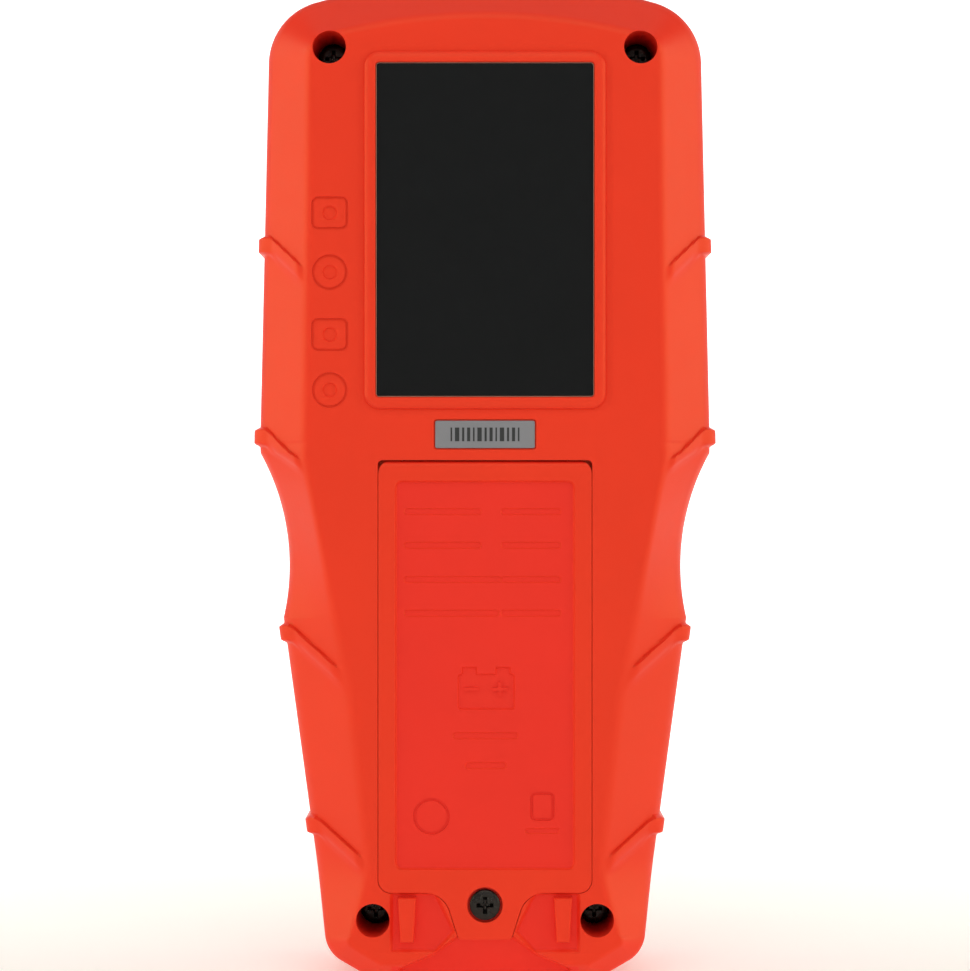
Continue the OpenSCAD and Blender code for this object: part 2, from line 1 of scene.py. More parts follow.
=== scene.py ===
"""Looks of a handheld wall scanner, seen from behind as it stands on its foot.

Shapes are worked out in millimetres, in the frame's own axes: +Z from foot to head, -Y the back
with the sensor pad and the battery door, +Y the display side. Meshes are made in metres.
"""

from math import asin, atan2, ceil, cos, degrees, hypot, pi, radians, sin, sqrt, tan

import bmesh
import bpy
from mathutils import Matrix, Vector


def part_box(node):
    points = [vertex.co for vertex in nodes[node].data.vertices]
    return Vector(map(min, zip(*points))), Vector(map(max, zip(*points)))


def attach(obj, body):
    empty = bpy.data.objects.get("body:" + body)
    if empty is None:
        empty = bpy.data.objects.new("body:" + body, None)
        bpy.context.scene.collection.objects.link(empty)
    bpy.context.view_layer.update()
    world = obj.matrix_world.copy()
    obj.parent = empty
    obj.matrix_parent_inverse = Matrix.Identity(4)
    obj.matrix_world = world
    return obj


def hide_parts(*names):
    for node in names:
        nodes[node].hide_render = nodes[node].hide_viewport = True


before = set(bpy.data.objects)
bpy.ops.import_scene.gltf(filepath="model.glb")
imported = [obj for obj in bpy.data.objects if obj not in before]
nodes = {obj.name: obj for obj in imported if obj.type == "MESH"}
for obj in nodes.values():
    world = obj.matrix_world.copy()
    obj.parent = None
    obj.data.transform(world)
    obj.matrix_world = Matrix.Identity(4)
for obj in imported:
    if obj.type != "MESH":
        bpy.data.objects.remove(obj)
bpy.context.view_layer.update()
MM = 0.001


def cad(node):
    """Lowest and highest corner of a CAD node in millimetres."""
    low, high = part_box(node)
    return low / MM, high / MM


# ---- the body's measures ----

housing_low, housing_high = cad("rear_housing")
front_low, front_high = cad("front_housing")
pad_low, pad_high = cad("sensor_pad")
door_low, door_high = cad("battery_door")
label_low, label_high = cad("label_plate")
screw_low, screw_high = cad("door_screw")
wells_low, wells_high = cad("case_screws")

# Depths, from the pad's rim at the back to the display side. The front shell's bosses reach 1.7
# past its rim.
PROUD_Y, BACK_Y = housing_low.y, door_low.y
REAR_RIM_Y, FRONT_RIM_Y = housing_high.y, front_low.y + 1.7
FRONT_Y = front_high.y

# Outline and slopes. Widths are measured from the middle, except for SLOPE_W, the slope's own
# width at the head. A name in _A is an angle in degrees.
BODY_H = housing_high.z
SHOULDER_W, SHOULDER_Z = 36.8, 87.0
FOOT_W, FOOT_Z, FOOT_R, FOOT_A = 26.0, 8.0, 5.4, 30.0
HEAD_R, HEAD_Z, HEAD_W = 10.5, 149.0, 35.4
SCOOP_R, WAIST_W, WAIST_Z = 38.0, 32.0, 67.0
SLOPE_Y, SLOPE_W = -9.0, 7.2
FLAT_SHOULDER_W, FLAT_WAIST_W, FLAT_FOOT_W = 29.0, 21.6, 19.2
EDGE_SHARE, SLOPE_END = 0.15, 1.12
FRONT_R = 5.0
WALL = 2.2
RIB_HEIGHTS = (24.7, 56.0, 88.0, 119.2)
RIB_H, RIB_OUT, STRIP_OUT = 3.4, 0.9, 0.8

# Door and foot. The seam is DOOR_GAP less DOOR_SWELL wide. TAB_W is half a tab's width.
DOOR_T = 2.0
DOOR_GAP, DOOR_SWELL = 0.16, 0.09
DOOR_W = door_high.x - door_low.x
DOOR_Z0, DOOR_Z1 = 14.8, 84.0
TONGUE_W, TONGUE_R, TONGUE_TIP_W, TONGUE_Z = 5.4, 4.2, 4.3, door_low.z
DOOR_SCREW_Z = (screw_low.z + screw_high.z) / 2
PANEL_Z, PANEL_W, PANEL_H, PANEL_DEEP = (DOOR_Z0 + DOOR_Z1) / 2 + 0.25, 28.6, 62.2, 0.5
HINGE_Y, HINGE_Z = BACK_Y + DOOR_T / 2, DOOR_Z1 - DOOR_T / 2
TAB_POINTS, TAB_W = (-10, 10), 3.0
TRAY_W, TRAY_Z0, TRAY_Z1, TRAY_FLOOR = 31.2, 16.2, 83.0, 4.05
BAY_DEEP = 0.7

# Pad, label and case screws
PAD_Z = (pad_low.z + pad_high.z) / 2
PAD_W, PAD_H = pad_high.x - pad_low.x, pad_high.z - pad_low.z
PAD_RIM, SNUG = 1.75, 0.16
LABEL_Z = (label_low.z + label_high.z) / 2
MARK_X, MARK_HEIGHTS, MARK_DEEP = -24.9, (123.8, 114.3, 104.3, 95.4), 0.3
WELL_R, BOSS_R, SEAT_Y = 2.7, 4.4, -2.6
CASE_POINTS = ((-25.0, 150.5), (25.0, 150.5), (-18.0, 10.3), (18.0, 10.3))

# Worked out from the above
SCOOP_X = WAIST_W + SCOOP_R
SCOOP_Z0, SCOOP_Z1 = WAIST_Z - 8.5, SHOULDER_Z - 1.6
SIDE_SLOPE = (SHOULDER_W - FOOT_W) / (SHOULDER_Z - 1 - FOOT_Z)
FOOT_FLAT_W = (FOOT_W - FOOT_R * (1 - sin(radians(FOOT_A)))
               - (FOOT_Z - FOOT_R * cos(radians(FOOT_A))) / tan(radians(FOOT_A)))
HEAD_X = HEAD_W - HEAD_R
HEAD_RISE = BODY_H - HEAD_Z
CROWN_R = (HEAD_X ** 2 + HEAD_RISE ** 2 - HEAD_R ** 2) / (2 * (HEAD_RISE - HEAD_R))
CROWN_Z = BODY_H - CROWN_R
CROWN_A = degrees(atan2(HEAD_Z - CROWN_Z, HEAD_X))


def smooth(a, b, value):
    """0 before a, 1 after b, with an S-curve between."""
    t = min(1.0, max(0.0, (value - a) / (b - a)))
    return t * t * (3 - 2 * t)


def body_w(z):
    """Half-width of the body at height z, away from its corners."""
    if z > SHOULDER_Z:
        return SHOULDER_W + (HEAD_W - SHOULDER_W) * (z - SHOULDER_Z) / (HEAD_Z - SHOULDER_Z)
    if SCOOP_Z0 < z < SCOOP_Z1:
        return SCOOP_X - sqrt(SCOOP_R ** 2 - (z - WAIST_Z) ** 2)
    return FOOT_W + SIDE_SLOPE * (z - FOOT_Z)


def flat_w(z):
    """Half-width of the flat back at height z."""
    low, waist, high = 24.0, 46.0, 84.0
    if z < waist:
        return FLAT_FOOT_W + (FLAT_WAIST_W - FLAT_FOOT_W) * (z - low) / (waist - low)
    if z < high:
        return FLAT_WAIST_W + (FLAT_SHOULDER_W - FLAT_WAIST_W) * (z - waist) / (high - waist)
    return FLAT_SHOULDER_W - 0.013 * (z - high)


def at_foot(z):
    """The slope is narrower and shallower at the foot."""
    return 0.4 + 0.6 * smooth(2, 20, z)


def slope_at(z):
    head = smooth(130, HEAD_Z, z)
    return ((body_w(z) - flat_w(z)) * (1 - head) + SLOPE_W * head) * at_foot(z)


def fall_at(z):
    return (SLOPE_Y - BACK_Y) * at_foot(z)


# ---- places on the inside and on the display side ----

bezel_low, bezel_high = cad("front_bezel")
lens_low, lens_high = cad("display_lens")
LCD_FACE = cad("lcd_glass")[1].y
DISPLAY_Z = (bezel_low.z + bezel_high.z) / 2
BEZEL_R, BEZEL_W, LENS_R = 5.0, 3.7, 3.1
BOARD_FACE = cad("main_board")[1].y
BOARD_POSTS = ((-24, 92), (24, 92), (-22.5, 24), (22.5, 24))
PIPE_Z, PIPE_X, PIPE_R = 146.5, (-12, 0, 12), 1.6
KEY_TOP_Y = cad("power_button")[1].y
KEY_GAP, KEY_FLANGE = 0.2, 1.2
ROW_BARS = ((75.9, 12.4), (70.5, 12.4), (65.0, 15.6), (59.6, 15.2))
LEAD_R = 0.6
LEAD_ROUTE = ((4, -5, 68.6), (4, -5, 71), (4.6, -4, 75), (5.4, -1.5, 79.5), (5.8, 0.5, 84),
              (6, 2.4, 88), (6, 4, 90.4), (6, 5, 91.2), (6, 6, 91.4))

# ---- outlines in x and z ----

def arc(cx, cz, r, a0, a1, spacing):
    """Points on an arc, each with the angle at which it lies."""
    n = max(2, ceil(radians(abs(a1 - a0)) * r / spacing))
    angles = [a0 + (a1 - a0) * i / n for i in range(n + 1)]
    return [(cx + r * cos(radians(a)), cz + r * sin(radians(a)), a) for a in angles]


def line(p, q, spacing):
    """Points from p to q, without q."""
    n = max(1, ceil(hypot(q[0] - p[0], q[1] - p[1]) / spacing))
    return [tuple(u + (v - u) * i / n for u, v in zip(p, q)) for i in range(n)]


def bend(cx, cz, r, a0, a1, steps):
    """Points on an arc, in a fixed number of steps."""
    angles = [radians(a0 + (a1 - a0) * i / steps) for i in range(steps + 1)]
    return [(cx + r * cos(a), cz + r * sin(a)) for a in angles]


def half_outline(spacing):
    """Right half of the body, foot to head: x, z and the angle in which outward lies."""
    toe = arc(FOOT_W - FOOT_R, FOOT_Z, FOOT_R, FOOT_A - 90, -6, spacing)
    corner = (FOOT_FLAT_W, 0.0, FOOT_A / 2 - 90)
    scoop_a0 = 180 + degrees(asin((WAIST_Z - SCOOP_Z0) / SCOOP_R))
    scoop_a1 = 180 - degrees(asin((SCOOP_Z1 - WAIST_Z) / SCOOP_R))
    scoop = [(x, z, 0.0) for x, z, _ in arc(SCOOP_X, WAIST_Z, SCOOP_R, scoop_a0, scoop_a1, spacing)]
    return (line((spacing / 2, 0.0, -90.0), corner, spacing)
            + line(corner, toe[0], spacing) + toe[:-1]
            + line(toe[-1], scoop[0], spacing) + scoop[:-1]
            + line(scoop[-1], (SHOULDER_W, SHOULDER_Z, 0.0), spacing)
            + line((SHOULDER_W, SHOULDER_Z, 0.0), (HEAD_W, HEAD_Z, 0.0), spacing)
            + arc(HEAD_X, HEAD_Z, HEAD_R, 0, CROWN_A, spacing)[:-1]
            + [p for p in arc(0, CROWN_Z, CROWN_R, CROWN_A, 90, spacing) if p[0] > spacing / 4])


def outward(a):
    """Step outwards at an angle: between the foot's flat and its chamfer, both edges move evenly."""
    right = a if a <= 90 else 180 - a
    off = 0.0
    if right < FOOT_A / 2 - 90:
        off = right + 90
    elif right < FOOT_A - 90:
        off = right + 90 - FOOT_A
    return cos(radians(a)) / cos(radians(off)), sin(radians(a)) / cos(radians(off))


def moved(point, out, y):
    """A point of an outline, moved outwards and set at a depth."""
    x, z, a = point
    step_x, step_z = outward(a)
    return x + out * step_x, y, z + out * step_z


def body_outline(spacing):
    half = half_outline(spacing)
    return half + [(-x, z, 180 - a) for x, z, a in reversed(half)]


def rounded(x, z, w, h, r, steps=8):
    """Rounded rectangle about a point, as a function of how much it grows."""
    def points(grow):
        radius = max(r + grow, 0.02)
        a, b = w / 2 + grow - radius, h / 2 + grow - radius
        corners = ((a, b, 0), (-a, b, 90), (-a, -b, 180), (a, -b, 270))
        return [(x + cx + radius * cos(radians(start + 90 * i / steps)),
                 z + cz + radius * sin(radians(start + 90 * i / steps)))
                for cx, cz, start in corners for i in range(steps + 1)]
    return points


def spanning(node, r, axis=2):
    """Rounded rectangle over a CAD node's box, in x and z, or in x and y when the axis is 1."""
    low, high = cad(node)
    size, middle = high - low, (low + high) / 2
    return rounded(middle.x, middle[axis], size.x, size[axis], r)


def circle(x, z, r, steps=48):
    def points(grow):
        return [(x + (r + grow) * cos(2 * pi * i / steps), z + (r + grow) * sin(2 * pi * i / steps))
                for i in range(steps)]
    return points


def polygon(*corners):
    """Convex polygon, anticlockwise, as a function of how much it grows."""
    def points(grow):
        spread = []
        for i, (x, z) in enumerate(corners):
            before, after = Vector(corners[i - 1]), Vector(corners[(i + 1) % len(corners)])
            here = Vector((x, z))
            one, two = (here - before).normalized(), (after - here).normalized()
            n_one, n_two = Vector((one.y, -one.x)), Vector((two.y, -two.x))
            shift = (n_one + n_two) / (1 + n_one.dot(n_two))
            spread.append(tuple(here + shift * grow))
        return spread
    return points


def grown(outline, more):
    """The same outline, larger by a fixed amount."""
    return lambda grow: outline(grow + more)


def door_outline(grow, upper_r=2.0):
    """The door: a rounded rectangle with a tongue whose sides flare in a curve."""
    corner_r, tip_r = 2.0, 0.6
    half = bend(DOOR_W / 2 - upper_r, DOOR_Z1 - upper_r, upper_r + grow, 90, 0, 10)
    half += bend(DOOR_W / 2 - corner_r, DOOR_Z0 + corner_r, corner_r + grow, 0, -90, 10)
    half += bend(TONGUE_W + TONGUE_R, DOOR_Z0 - TONGUE_R, TONGUE_R - grow, 90, 165, 12)
    half += bend(TONGUE_TIP_W - tip_r, TONGUE_Z + tip_r, tip_r + grow, -15, -90, 5)
    return half + [(-x, z) for x, z in reversed(half)]


def door_recess(grow):
    """The door's recess, squarer at its upper corners, where the door's corners rise as it opens."""
    return door_outline(grow + DOOR_GAP, upper_r=0.62)


# Each key: what its icon shows, its body, its middle in x and z, and its outline.
KEYS = {"power_button": ("power", "power_key", (0, 54), circle(0, 54, 8.0, 64)),
        "mode_button": ("mode", "mode_key", (-15, 76), rounded(-15, 76, 16, 9, 4.4)),
        "alarm_button": ("alarm", "alarm_key", (15, 76), rounded(15, 76, 16, 9, 4.4)),
        "hold_button": ("hold", "hold_key", (0, 32), rounded(0, 32, 14, 8, 3.9))}


# ---- making solids ----

def linked(name, data):
    """A new object in the scene."""
    made = bpy.data.objects.new(name, data)
    bpy.context.scene.collection.objects.link(made)
    return made


def new_object(name, points, faces):
    mesh = bpy.data.meshes.new(name)
    mesh.from_pydata([(x * MM, y * MM, z * MM) for x, y, z in points], [], faces)
    work = bmesh.new()
    work.from_mesh(mesh)
    bmesh.ops.recalc_face_normals(work, faces=work.faces)
    work.to_mesh(mesh)
    work.free()
    return linked(name, mesh)


def end_strips(ring):
    """Faces that close a mirrored ring: its level foot as one face, then strips from side to side."""
    n = len(ring)
    level = sum(1 for point in ring[:n // 2] if point[2] - ring[0][2] < 1e-6) - 1
    foot = tuple(range(level + 2)) + tuple(range(n - 2 - level, n))
    return [foot] + [(i, i + 1, n - 2 - i, n - 1 - i) for i in range(level + 1, n // 2 - 1)]


def loft(name, rings, mirrored=False):
    """Closed solid through rings. Mirrored rings are closed by strips from side to side."""
    n = len(rings[0])
    last = (len(rings) - 1) * n
    faces = [(k * n + i, (k + 1) * n + i, (k + 1) * n + (i + 1) % n, k * n + (i + 1) % n)
             for k in range(len(rings) - 1) for i in range(n)]
    if mirrored:
        faces += end_strips(rings[0])
        faces += [tuple(last + i for i in reversed(face)) for face in end_strips(rings[-1])]
    else:
        faces += [tuple(range(n)), tuple(last + i for i in reversed(range(n)))]
    return new_object(name, [p for ring in rings for p in ring], faces)


def slab(name, outline, levels):
    """Solid with an outline in x and z. Each level is a depth y and how much the outline grows."""
    return loft(name, [[(x, y, z) for x, z in outline(grow)] for y, grow in levels])


def rounded_levels(face, end, r, steps=4):
    """Levels from a face with a rounded edge to a plain end."""
    way = 1 if end > face else -1
    turns = [pi / 2 * (1 - i / steps) for i in range(steps + 1)]
    return [(face + way * r * (1 - sin(a)), -r * (1 - cos(a))) for a in turns] + [(end, 0.0)]


def flared_levels(surface, end, r, steps=4):
    """Levels of a cutter whose mouth leaves a rounded edge."""
    way = 1 if end > surface else -1
    turns = [pi / 2 * i / steps for i in range(steps + 1)]
    return ([(surface - way * 1.5, r)]
            + [(surface + way * r * (1 - cos(a)), r * (1 - sin(a))) for a in turns] + [(end, 0.0)])


def dish_levels(surface, depth, soft, steps=6):
    """Levels of a cutter for a shallow recess with soft walls, 2 x soft wide."""
    way = 1 if depth > 0 else -1
    shares = [i / steps for i in range(steps + 1)]
    return ([(surface - way * 1.5, soft)]
            + [(surface + depth * smooth(0, 1, s), soft * (1 - 2 * s)) for s in shares])


def combine(base, others, operation):
    """Boolean of base with each of the others, which are used up."""
    for other in others:
        step = base.modifiers.new("combine", "BOOLEAN")
        step.operation = operation
        step.solver = "MANIFOLD"
        step.object = other
    bpy.context.view_layer.update()
    seen = base.evaluated_get(bpy.context.evaluated_depsgraph_get())
    mesh = bpy.data.meshes.new_from_object(seen)
    base.modifiers.clear()
    base.data = mesh
    for other in others:
        bpy.data.objects.remove(other)
    return base


def joined(solids):
    return combine(solids[0], solids[1:], "UNION")


def soften(made, angle=32.0):
    """Smooth shading, with edges sharper than the angle left crisp."""
    work = bmesh.new()
    work.from_mesh(made.data)
    bmesh.ops.dissolve_degenerate(work, dist=2e-6, edges=work.edges)
    for face in work.faces:
        face.smooth = True
    for edge in work.edges:
        edge.smooth = len(edge.link_faces) == 2 and edge.calc_face_angle(0.0) < radians(angle)
    work.to_mesh(made.data)
    work.free()
    made.modifiers.new("normals", "WEIGHTED_NORMAL").keep_sharp = True
    return made


def rod(name, x, z, r, y0, y1, steps=32):
    return slab(name, circle(x, z, r, steps), [(y0, 0.0), (y1, 0.0)])


def block(name, x0, x1, y0, y1, z0, z1):
    outline = polygon((x0, z0), (x1, z0), (x1, z1), (x0, z1))
    return slab(name, outline, [(y0, 0.0), (y1, 0.0)])


# ---- rear housing ----

def rib_bump(z):
    """How far the side stands out at height z because of a rib."""
    return max(RIB_OUT * smooth(0, 0.7, RIB_H / 2 - abs(z - rib)) for rib in RIB_HEIGHTS)


def strip_bump(z, inward, share):
    """How far a rib's slanting strip stands out of the slope: crisp above, fading below."""
    total = 0.0
    for rib in RIB_HEIGHTS:
        below = rib + RIB_H / 2 - z - 0.95 * max(0.0, inward - 1.0)
        if -1 < below < 6:
            across = smooth(0.8, 2.6, inward)
            crisp = smooth(0, 0.4, below)
            edge_end = 1 - smooth(RIB_H - 0.6, RIB_H, below)
            strip_end = 0.75 * (1 - smooth(1.2, 4.2, below)) + 0.25 * (1 - smooth(2.2, 2.7, below))
            end = edge_end * (1 - across) + strip_end * across
            total = max(total, crisp * end * (1 - smooth(0.74, 0.95, share)))
    return STRIP_OUT * total


def slope_profile(share):
    """Depth of the sloped side as a share of its fall: rounded at its edge and at the crease."""
    crease, soft = 0.997, 0.12
    if share > crease + soft:
        return 0.0
    depth = 1.023 * (crease - share)
    if share > crease - soft:
        depth = 1.023 * (soft + crease - share) ** 2 / (4 * soft)
    if share < EDGE_SHARE:
        depth += 0.12 * (1 - sqrt(1 - (1 - share / EDGE_SHARE) ** 2))
    return depth


def wall_ring(outline, y, inset, ribs=True):
    return [moved(point, (rib_bump(point[1]) if ribs else 0.0) - inset, y) for point in outline]


def rim_rings(outline, rim, end):
    """Rings of a shell's wall, from its rim with a rounded edge."""
    way = 1 if end > rim else -1
    edge = [wall_ring(outline, rim + way * step, inset) for step, inset in ((0, 0.35), (0.1, 0.1), (0.35, 0))]
    return edge + [wall_ring(outline, end, 0)]


def slope_ring(outline, share):
    ring = []
    for x, z, a in outline:
        inward = share * slope_at(z)
        out = rib_bump(z) * (1 - smooth(0.02, 0.2, share)) - inward
        y = BACK_Y + slope_profile(share) * fall_at(z) - strip_bump(z, inward, share)
        ring.append(moved((x, z, a), out, y))
    return ring


def rear_form():
    outline = body_outline(0.24)
    steps = 34
    shares = [EDGE_SHARE * (1 - cos(radians(a))) for a in range(0, 91, 15)]
    shares += [EDGE_SHARE + (SLOPE_END - EDGE_SHARE) * i / steps for i in range(1, steps + 1)]
    rings = rim_rings(outline, REAR_RIM_Y, -5.0) + [slope_ring(outline, share) for share in shares]
    return loft("rear_shell", rings, mirrored=True)


def cavity(outline, levels):
    """Hollow of a housing: each level is a depth and how far it lies inside the outline."""
    return loft("hollow", [[moved(point, -inset(point[1]), y) for point in outline]
                           for y, inset in levels], mirrored=True)


def rear_cavity():
    outline = body_outline(1.2)
    inner_y = BACK_Y + WALL
    hollow = cavity(outline, [(REAR_RIM_Y + 1, lambda z: WALL),
                              (BACK_Y + SLOPE_END * (SLOPE_Y - BACK_Y), lambda z: WALL),
                              (inner_y, lambda z: 0.83 * slope_at(z) + WALL)])
    side_wall, end_wall, floor = 2.8, 1.8, 1.2
    kept = [block("kept", -TRAY_W / 2 - side_wall, TRAY_W / 2 + side_wall, BACK_Y, TRAY_FLOOR + floor,
                  TRAY_Z0 - end_wall, TRAY_Z1 + end_wall),
            rod("kept", 0, DOOR_SCREW_Z, BOSS_R, BACK_Y, -8)]
    kept += [rod("kept", x, z, BOSS_R, BACK_Y, 0.0) for x, z in CASE_POINTS]
    return combine(hollow, kept, "DIFFERENCE")


def finger_notch():
    """Notch under the tongue, whose floor falls away towards the foot."""
    edge, tip, soft = 13.8, TONGUE_Z + 0.3, 0.35
    outline = polygon((-edge, -1.0), (edge, -1.0), (edge, 2.4), (8.2, 4.9), (TONGUE_TIP_W + 0.2, tip),
                      (-TONGUE_TIP_W - 0.2, tip), (-8.2, 4.9), (-edge, 2.4))
    rings = [[(x, BACK_Y - 1.5, z) for x, z in outline(soft)]]
    for share in (i / 6 for i in range(7)):
        ring = outline(soft * (1 - 2 * share))
        rings.append([(x, BACK_Y + smooth(0, 1, share) * (0.5 + 0.34 * (tip - z)), z) for x, z in ring])
    return loft("notch", rings)


def foot_bay(side):
    """Sunk bay beside the tongue, which a ridge stands in."""
    corners = [(7.9, 5.4), (15.0, 5.4), (15.0, 14.6), (8.0, 14.6), (5.0, 8.5)]
    if side < 0:
        corners = [(-x, z) for x, z in reversed(corners)]
    return slab("bay", polygon(*corners), dish_levels(BACK_Y, BAY_DEEP, 0.4))


def foot_ridge(side):
    """Upright ridge in a bay, a little narrower towards the foot."""
    top_w, foot_w, z0, z1 = 1.45, 1.05, 6.9, 14.0
    x = side * 12.5
    outline = polygon((x - foot_w, z0), (x + foot_w, z0), (x + top_w, z1), (x - top_w, z1))
    return slab("ridge", outline, rounded_levels(PROUD_Y, BACK_Y + 1.2, 0.3))


def pad_rim():
    """Rim round the pad: it falls away from the pad's edge in a soft bevel."""
    fall = BACK_Y - PROUD_Y
    levels = [(PROUD_Y, -PAD_RIM + 0.35), (PROUD_Y + 0.04, -0.95), (PROUD_Y + 0.2 * fall, -0.5),
              (PROUD_Y + 0.45 * fall, -0.12), (PROUD_Y + 0.75 * fall, 0.12), (BACK_Y + 0.5, 0.2)]
    return slab("rim", rounded(0, PAD_Z, PAD_W + 2 * PAD_RIM, PAD_H + 2 * PAD_RIM, 2.3), levels)


def outlined(outline, width, surface, depth):
    """A thin groove or raised line that follows an outline."""
    way = 1 if depth > 0 else -1
    levels = [(surface - way * 0.6, 0.0), (surface + depth, -0.08)]
    ring = slab("line", outline, levels)
    core = slab("core", outline, [(surface - way * 0.9, -width), (surface + depth + way, -width)])
    return combine(ring, [core], "DIFFERENCE")


def side_marks():
    """Four neutral marks sunk beside the pad: plain outlines that stand for printed pictograms."""
    marks = []
    for i, z in enumerate(MARK_HEIGHTS):
        shape = circle(MARK_X, z, 2.9) if i % 2 else rounded(MARK_X, z, 6.0, 5.4, 1.2)
        marks.append(outlined(shape, 0.45, BACK_Y, MARK_DEEP))
        marks.append(slab("dot", circle(MARK_X, z, 1.1, 32), dish_levels(BACK_Y, MARK_DEEP, 0.12)))
    return marks


def tray():
    """Battery tray, with the leads' window and the slots of the door's tabs in its upper wall."""
    window_w, slot_w = 9, TAB_W + 0.4
    z0, z1 = TRAY_Z1 - 1, TRAY_Z1 + 3
    cutters = [slab("tray", rounded(0, (TRAY_Z0 + TRAY_Z1) / 2, TRAY_W, TRAY_Z1 - TRAY_Z0, 0.8),
                    [(BACK_Y - 1, 0.0), (TRAY_FLOOR - 0.75, 0.0), (TRAY_FLOOR, -0.7)]),
               block("window", -window_w, window_w, -6, 2.6, z0, z1)]
    cutters += [block("slot", x - slot_w, x + slot_w, BACK_Y + DOOR_T, -8.5, z0, z1) for x in TAB_POINTS]
    return cutters


def rear_shell():
    shell = rear_form()
    around = 2 * PAD_RIM + 1.4
    trough = slab("trough", rounded(0, PAD_Z, PAD_W + around, PAD_H + around, 3.0),
                  dish_levels(BACK_Y, 0.25, 0.9, 8))
    combine(shell, [rear_cavity(), trough, finger_notch(), foot_bay(-1), foot_bay(1)],
            "DIFFERENCE")
    combine(shell, [pad_rim(), foot_ridge(-1), foot_ridge(1)], "UNION")
    recess = rounded(0, PAD_Z, PAD_W + SNUG, PAD_H + SNUG, 0.6)
    label = rounded(0, LABEL_Z, 16.4, 4.8, 0.5)
    cutters = [slab("recess", recess, flared_levels(PROUD_Y, pad_high.y, 0.25)),
               slab("label", label, flared_levels(BACK_Y, BACK_Y + 0.5, 0.15)),
               slab("door", door_recess, flared_levels(BACK_Y, BACK_Y + DOOR_T + 0.1, 0.08)),
               rod("insert", 0, DOOR_SCREW_Z, 2.0, BACK_Y, -9.2)]
    for x, z in CASE_POINTS:
        cutters.append(rod("well", x, z, WELL_R, PROUD_Y - 1, SEAT_Y, 64))
        cutters.append(rod("bore", x, z, 1.65, SEAT_Y - 1, 2.0))
    combine(shell, cutters + tray() + side_marks(), "DIFFERENCE")
    return soften(shell)


# ---- front housing ----

def front_shell():
    outline = body_outline(0.4)
    edge = [wall_ring(outline, FRONT_Y - FRONT_R * (1 - sin(a)), FRONT_R * (1 - cos(a)), ribs=False)
            for a in (pi / 2 * i / 12 for i in range(13))]
    shell = loft("front_shell", rim_rings(outline, FRONT_RIM_Y, FRONT_Y - FRONT_R - 1.2) + edge, True)
    inner_y = FRONT_Y - WALL
    hollow = cavity(body_outline(1.2), [(FRONT_RIM_Y - 1, lambda z: WALL),
                                        (inner_y - (FRONT_R - WALL), lambda z: WALL),
                                        (inner_y, lambda z: FRONT_R)])
    kept = [rod("post", x, z, 2.4, BOARD_FACE, FRONT_Y - 1) for x, z in BOARD_POSTS]
    kept += [rod("boss", x, z, BOSS_R, FRONT_RIM_Y - 2, FRONT_Y - 1) for x, z in CASE_POINTS]
    combine(shell, [combine(hollow, kept, "DIFFERENCE")], "DIFFERENCE")
    bosses = [rod("boss", x, z, BOSS_R, front_low.y, FRONT_RIM_Y + 1) for x, z in CASE_POINTS]
    combine(shell, bosses, "UNION")
    opening = grown(spanning("front_bezel", BEZEL_R), 0.1)
    lens_seat = grown(spanning("display_lens", LENS_R), 0.1)
    cutters = [slab("opening", opening, flared_levels(FRONT_Y, bezel_low.y, 0.25)),
               slab("seat", lens_seat, [(FRONT_Y, 0.0), (lens_low.y, 0.0)]),
               slab("window", rounded(0, DISPLAY_Z, 46, 34, 2), [(FRONT_Y, 0.0), (inner_y - 1, 0.0)])]
    cutters += [slab("key_hole", grown(cap, KEY_GAP), flared_levels(FRONT_Y, inner_y - 1, 0.3))
                for *_, cap in KEYS.values()]
    cutters += [slab("pipe_hole", circle(x, PIPE_Z, PIPE_R + 0.1, 32),
                     flared_levels(FRONT_Y, inner_y - 1, 0.2)) for x in PIPE_X]
    cutters += [rod("bore", x, z, 2.3, -1, 7) for x, z in CASE_POINTS]
    combine(shell, cutters, "DIFFERENCE")
    return soften(shell)


# ---- back pieces ----

def along_x(name, outline, x0, x1):
    """Solid with an outline in y and z, from x0 to x1."""
    return loft(name, [[(x, y, z) for y, z in outline] for x in (x0, x1)])


def battery_mark(z):
    """A battery with a minus and a plus, sunk into the door's panel."""
    top = BACK_Y + PANEL_DEEP
    mark = slab("mark", rounded(0.2, z, 9.0, 5.6, 0.4), dish_levels(top, 0.3, 0.1, 4))
    ends = [slab("end", rounded(0.2 + side * 2.7, z + 3.1, 2.3, 1.6, 0.2), dish_levels(top, 0.3, 0.1, 4))
            for side in (-1, 1)]
    combine(mark, ends, "UNION")
    stroke, middle_z = 0.5, z + 0.4
    signs = [block("sign", x - w / 2, x + w / 2, top - 3, top + 3, middle_z - h / 2, middle_z + h / 2)
             for x, w, h in ((-2.2, 2.2, stroke), (2.4, 2.4, stroke), (2.4, stroke, 2.4))]
    return combine(mark, signs, "DIFFERENCE")


def door_marks():
    """Neutral relief on the door: bars where a printed table would be, and a battery."""
    top = BACK_Y + PANEL_DEEP
    bars = [rounded(-13.0 + long / 2, z, long, 1.0, 0.45) for z, long in ROW_BARS]
    bars += [rounded(7.4, z, 9.6, 1.0, 0.45) for z, _ in ROW_BARS]
    bars += [rounded(0.1, 39.9, 10.4, 1.0, 0.45), rounded(0.1, 35.1, 6.6, 1.0, 0.45),
             rounded(9.2, 24.6, 5.4, 0.8, 0.35)]
    marks = [slab("mark", bar, dish_levels(top, 0.22, 0.12, 4)) for bar in bars]
    marks += [outlined(frame_shape, 0.55, top, 0.25)
              for frame_shape in (circle(-8.6, 27.0, 3.0), rounded(9.2, 28.6, 4.0, 4.8, 1.0))]
    return marks + [battery_mark(47.0)]


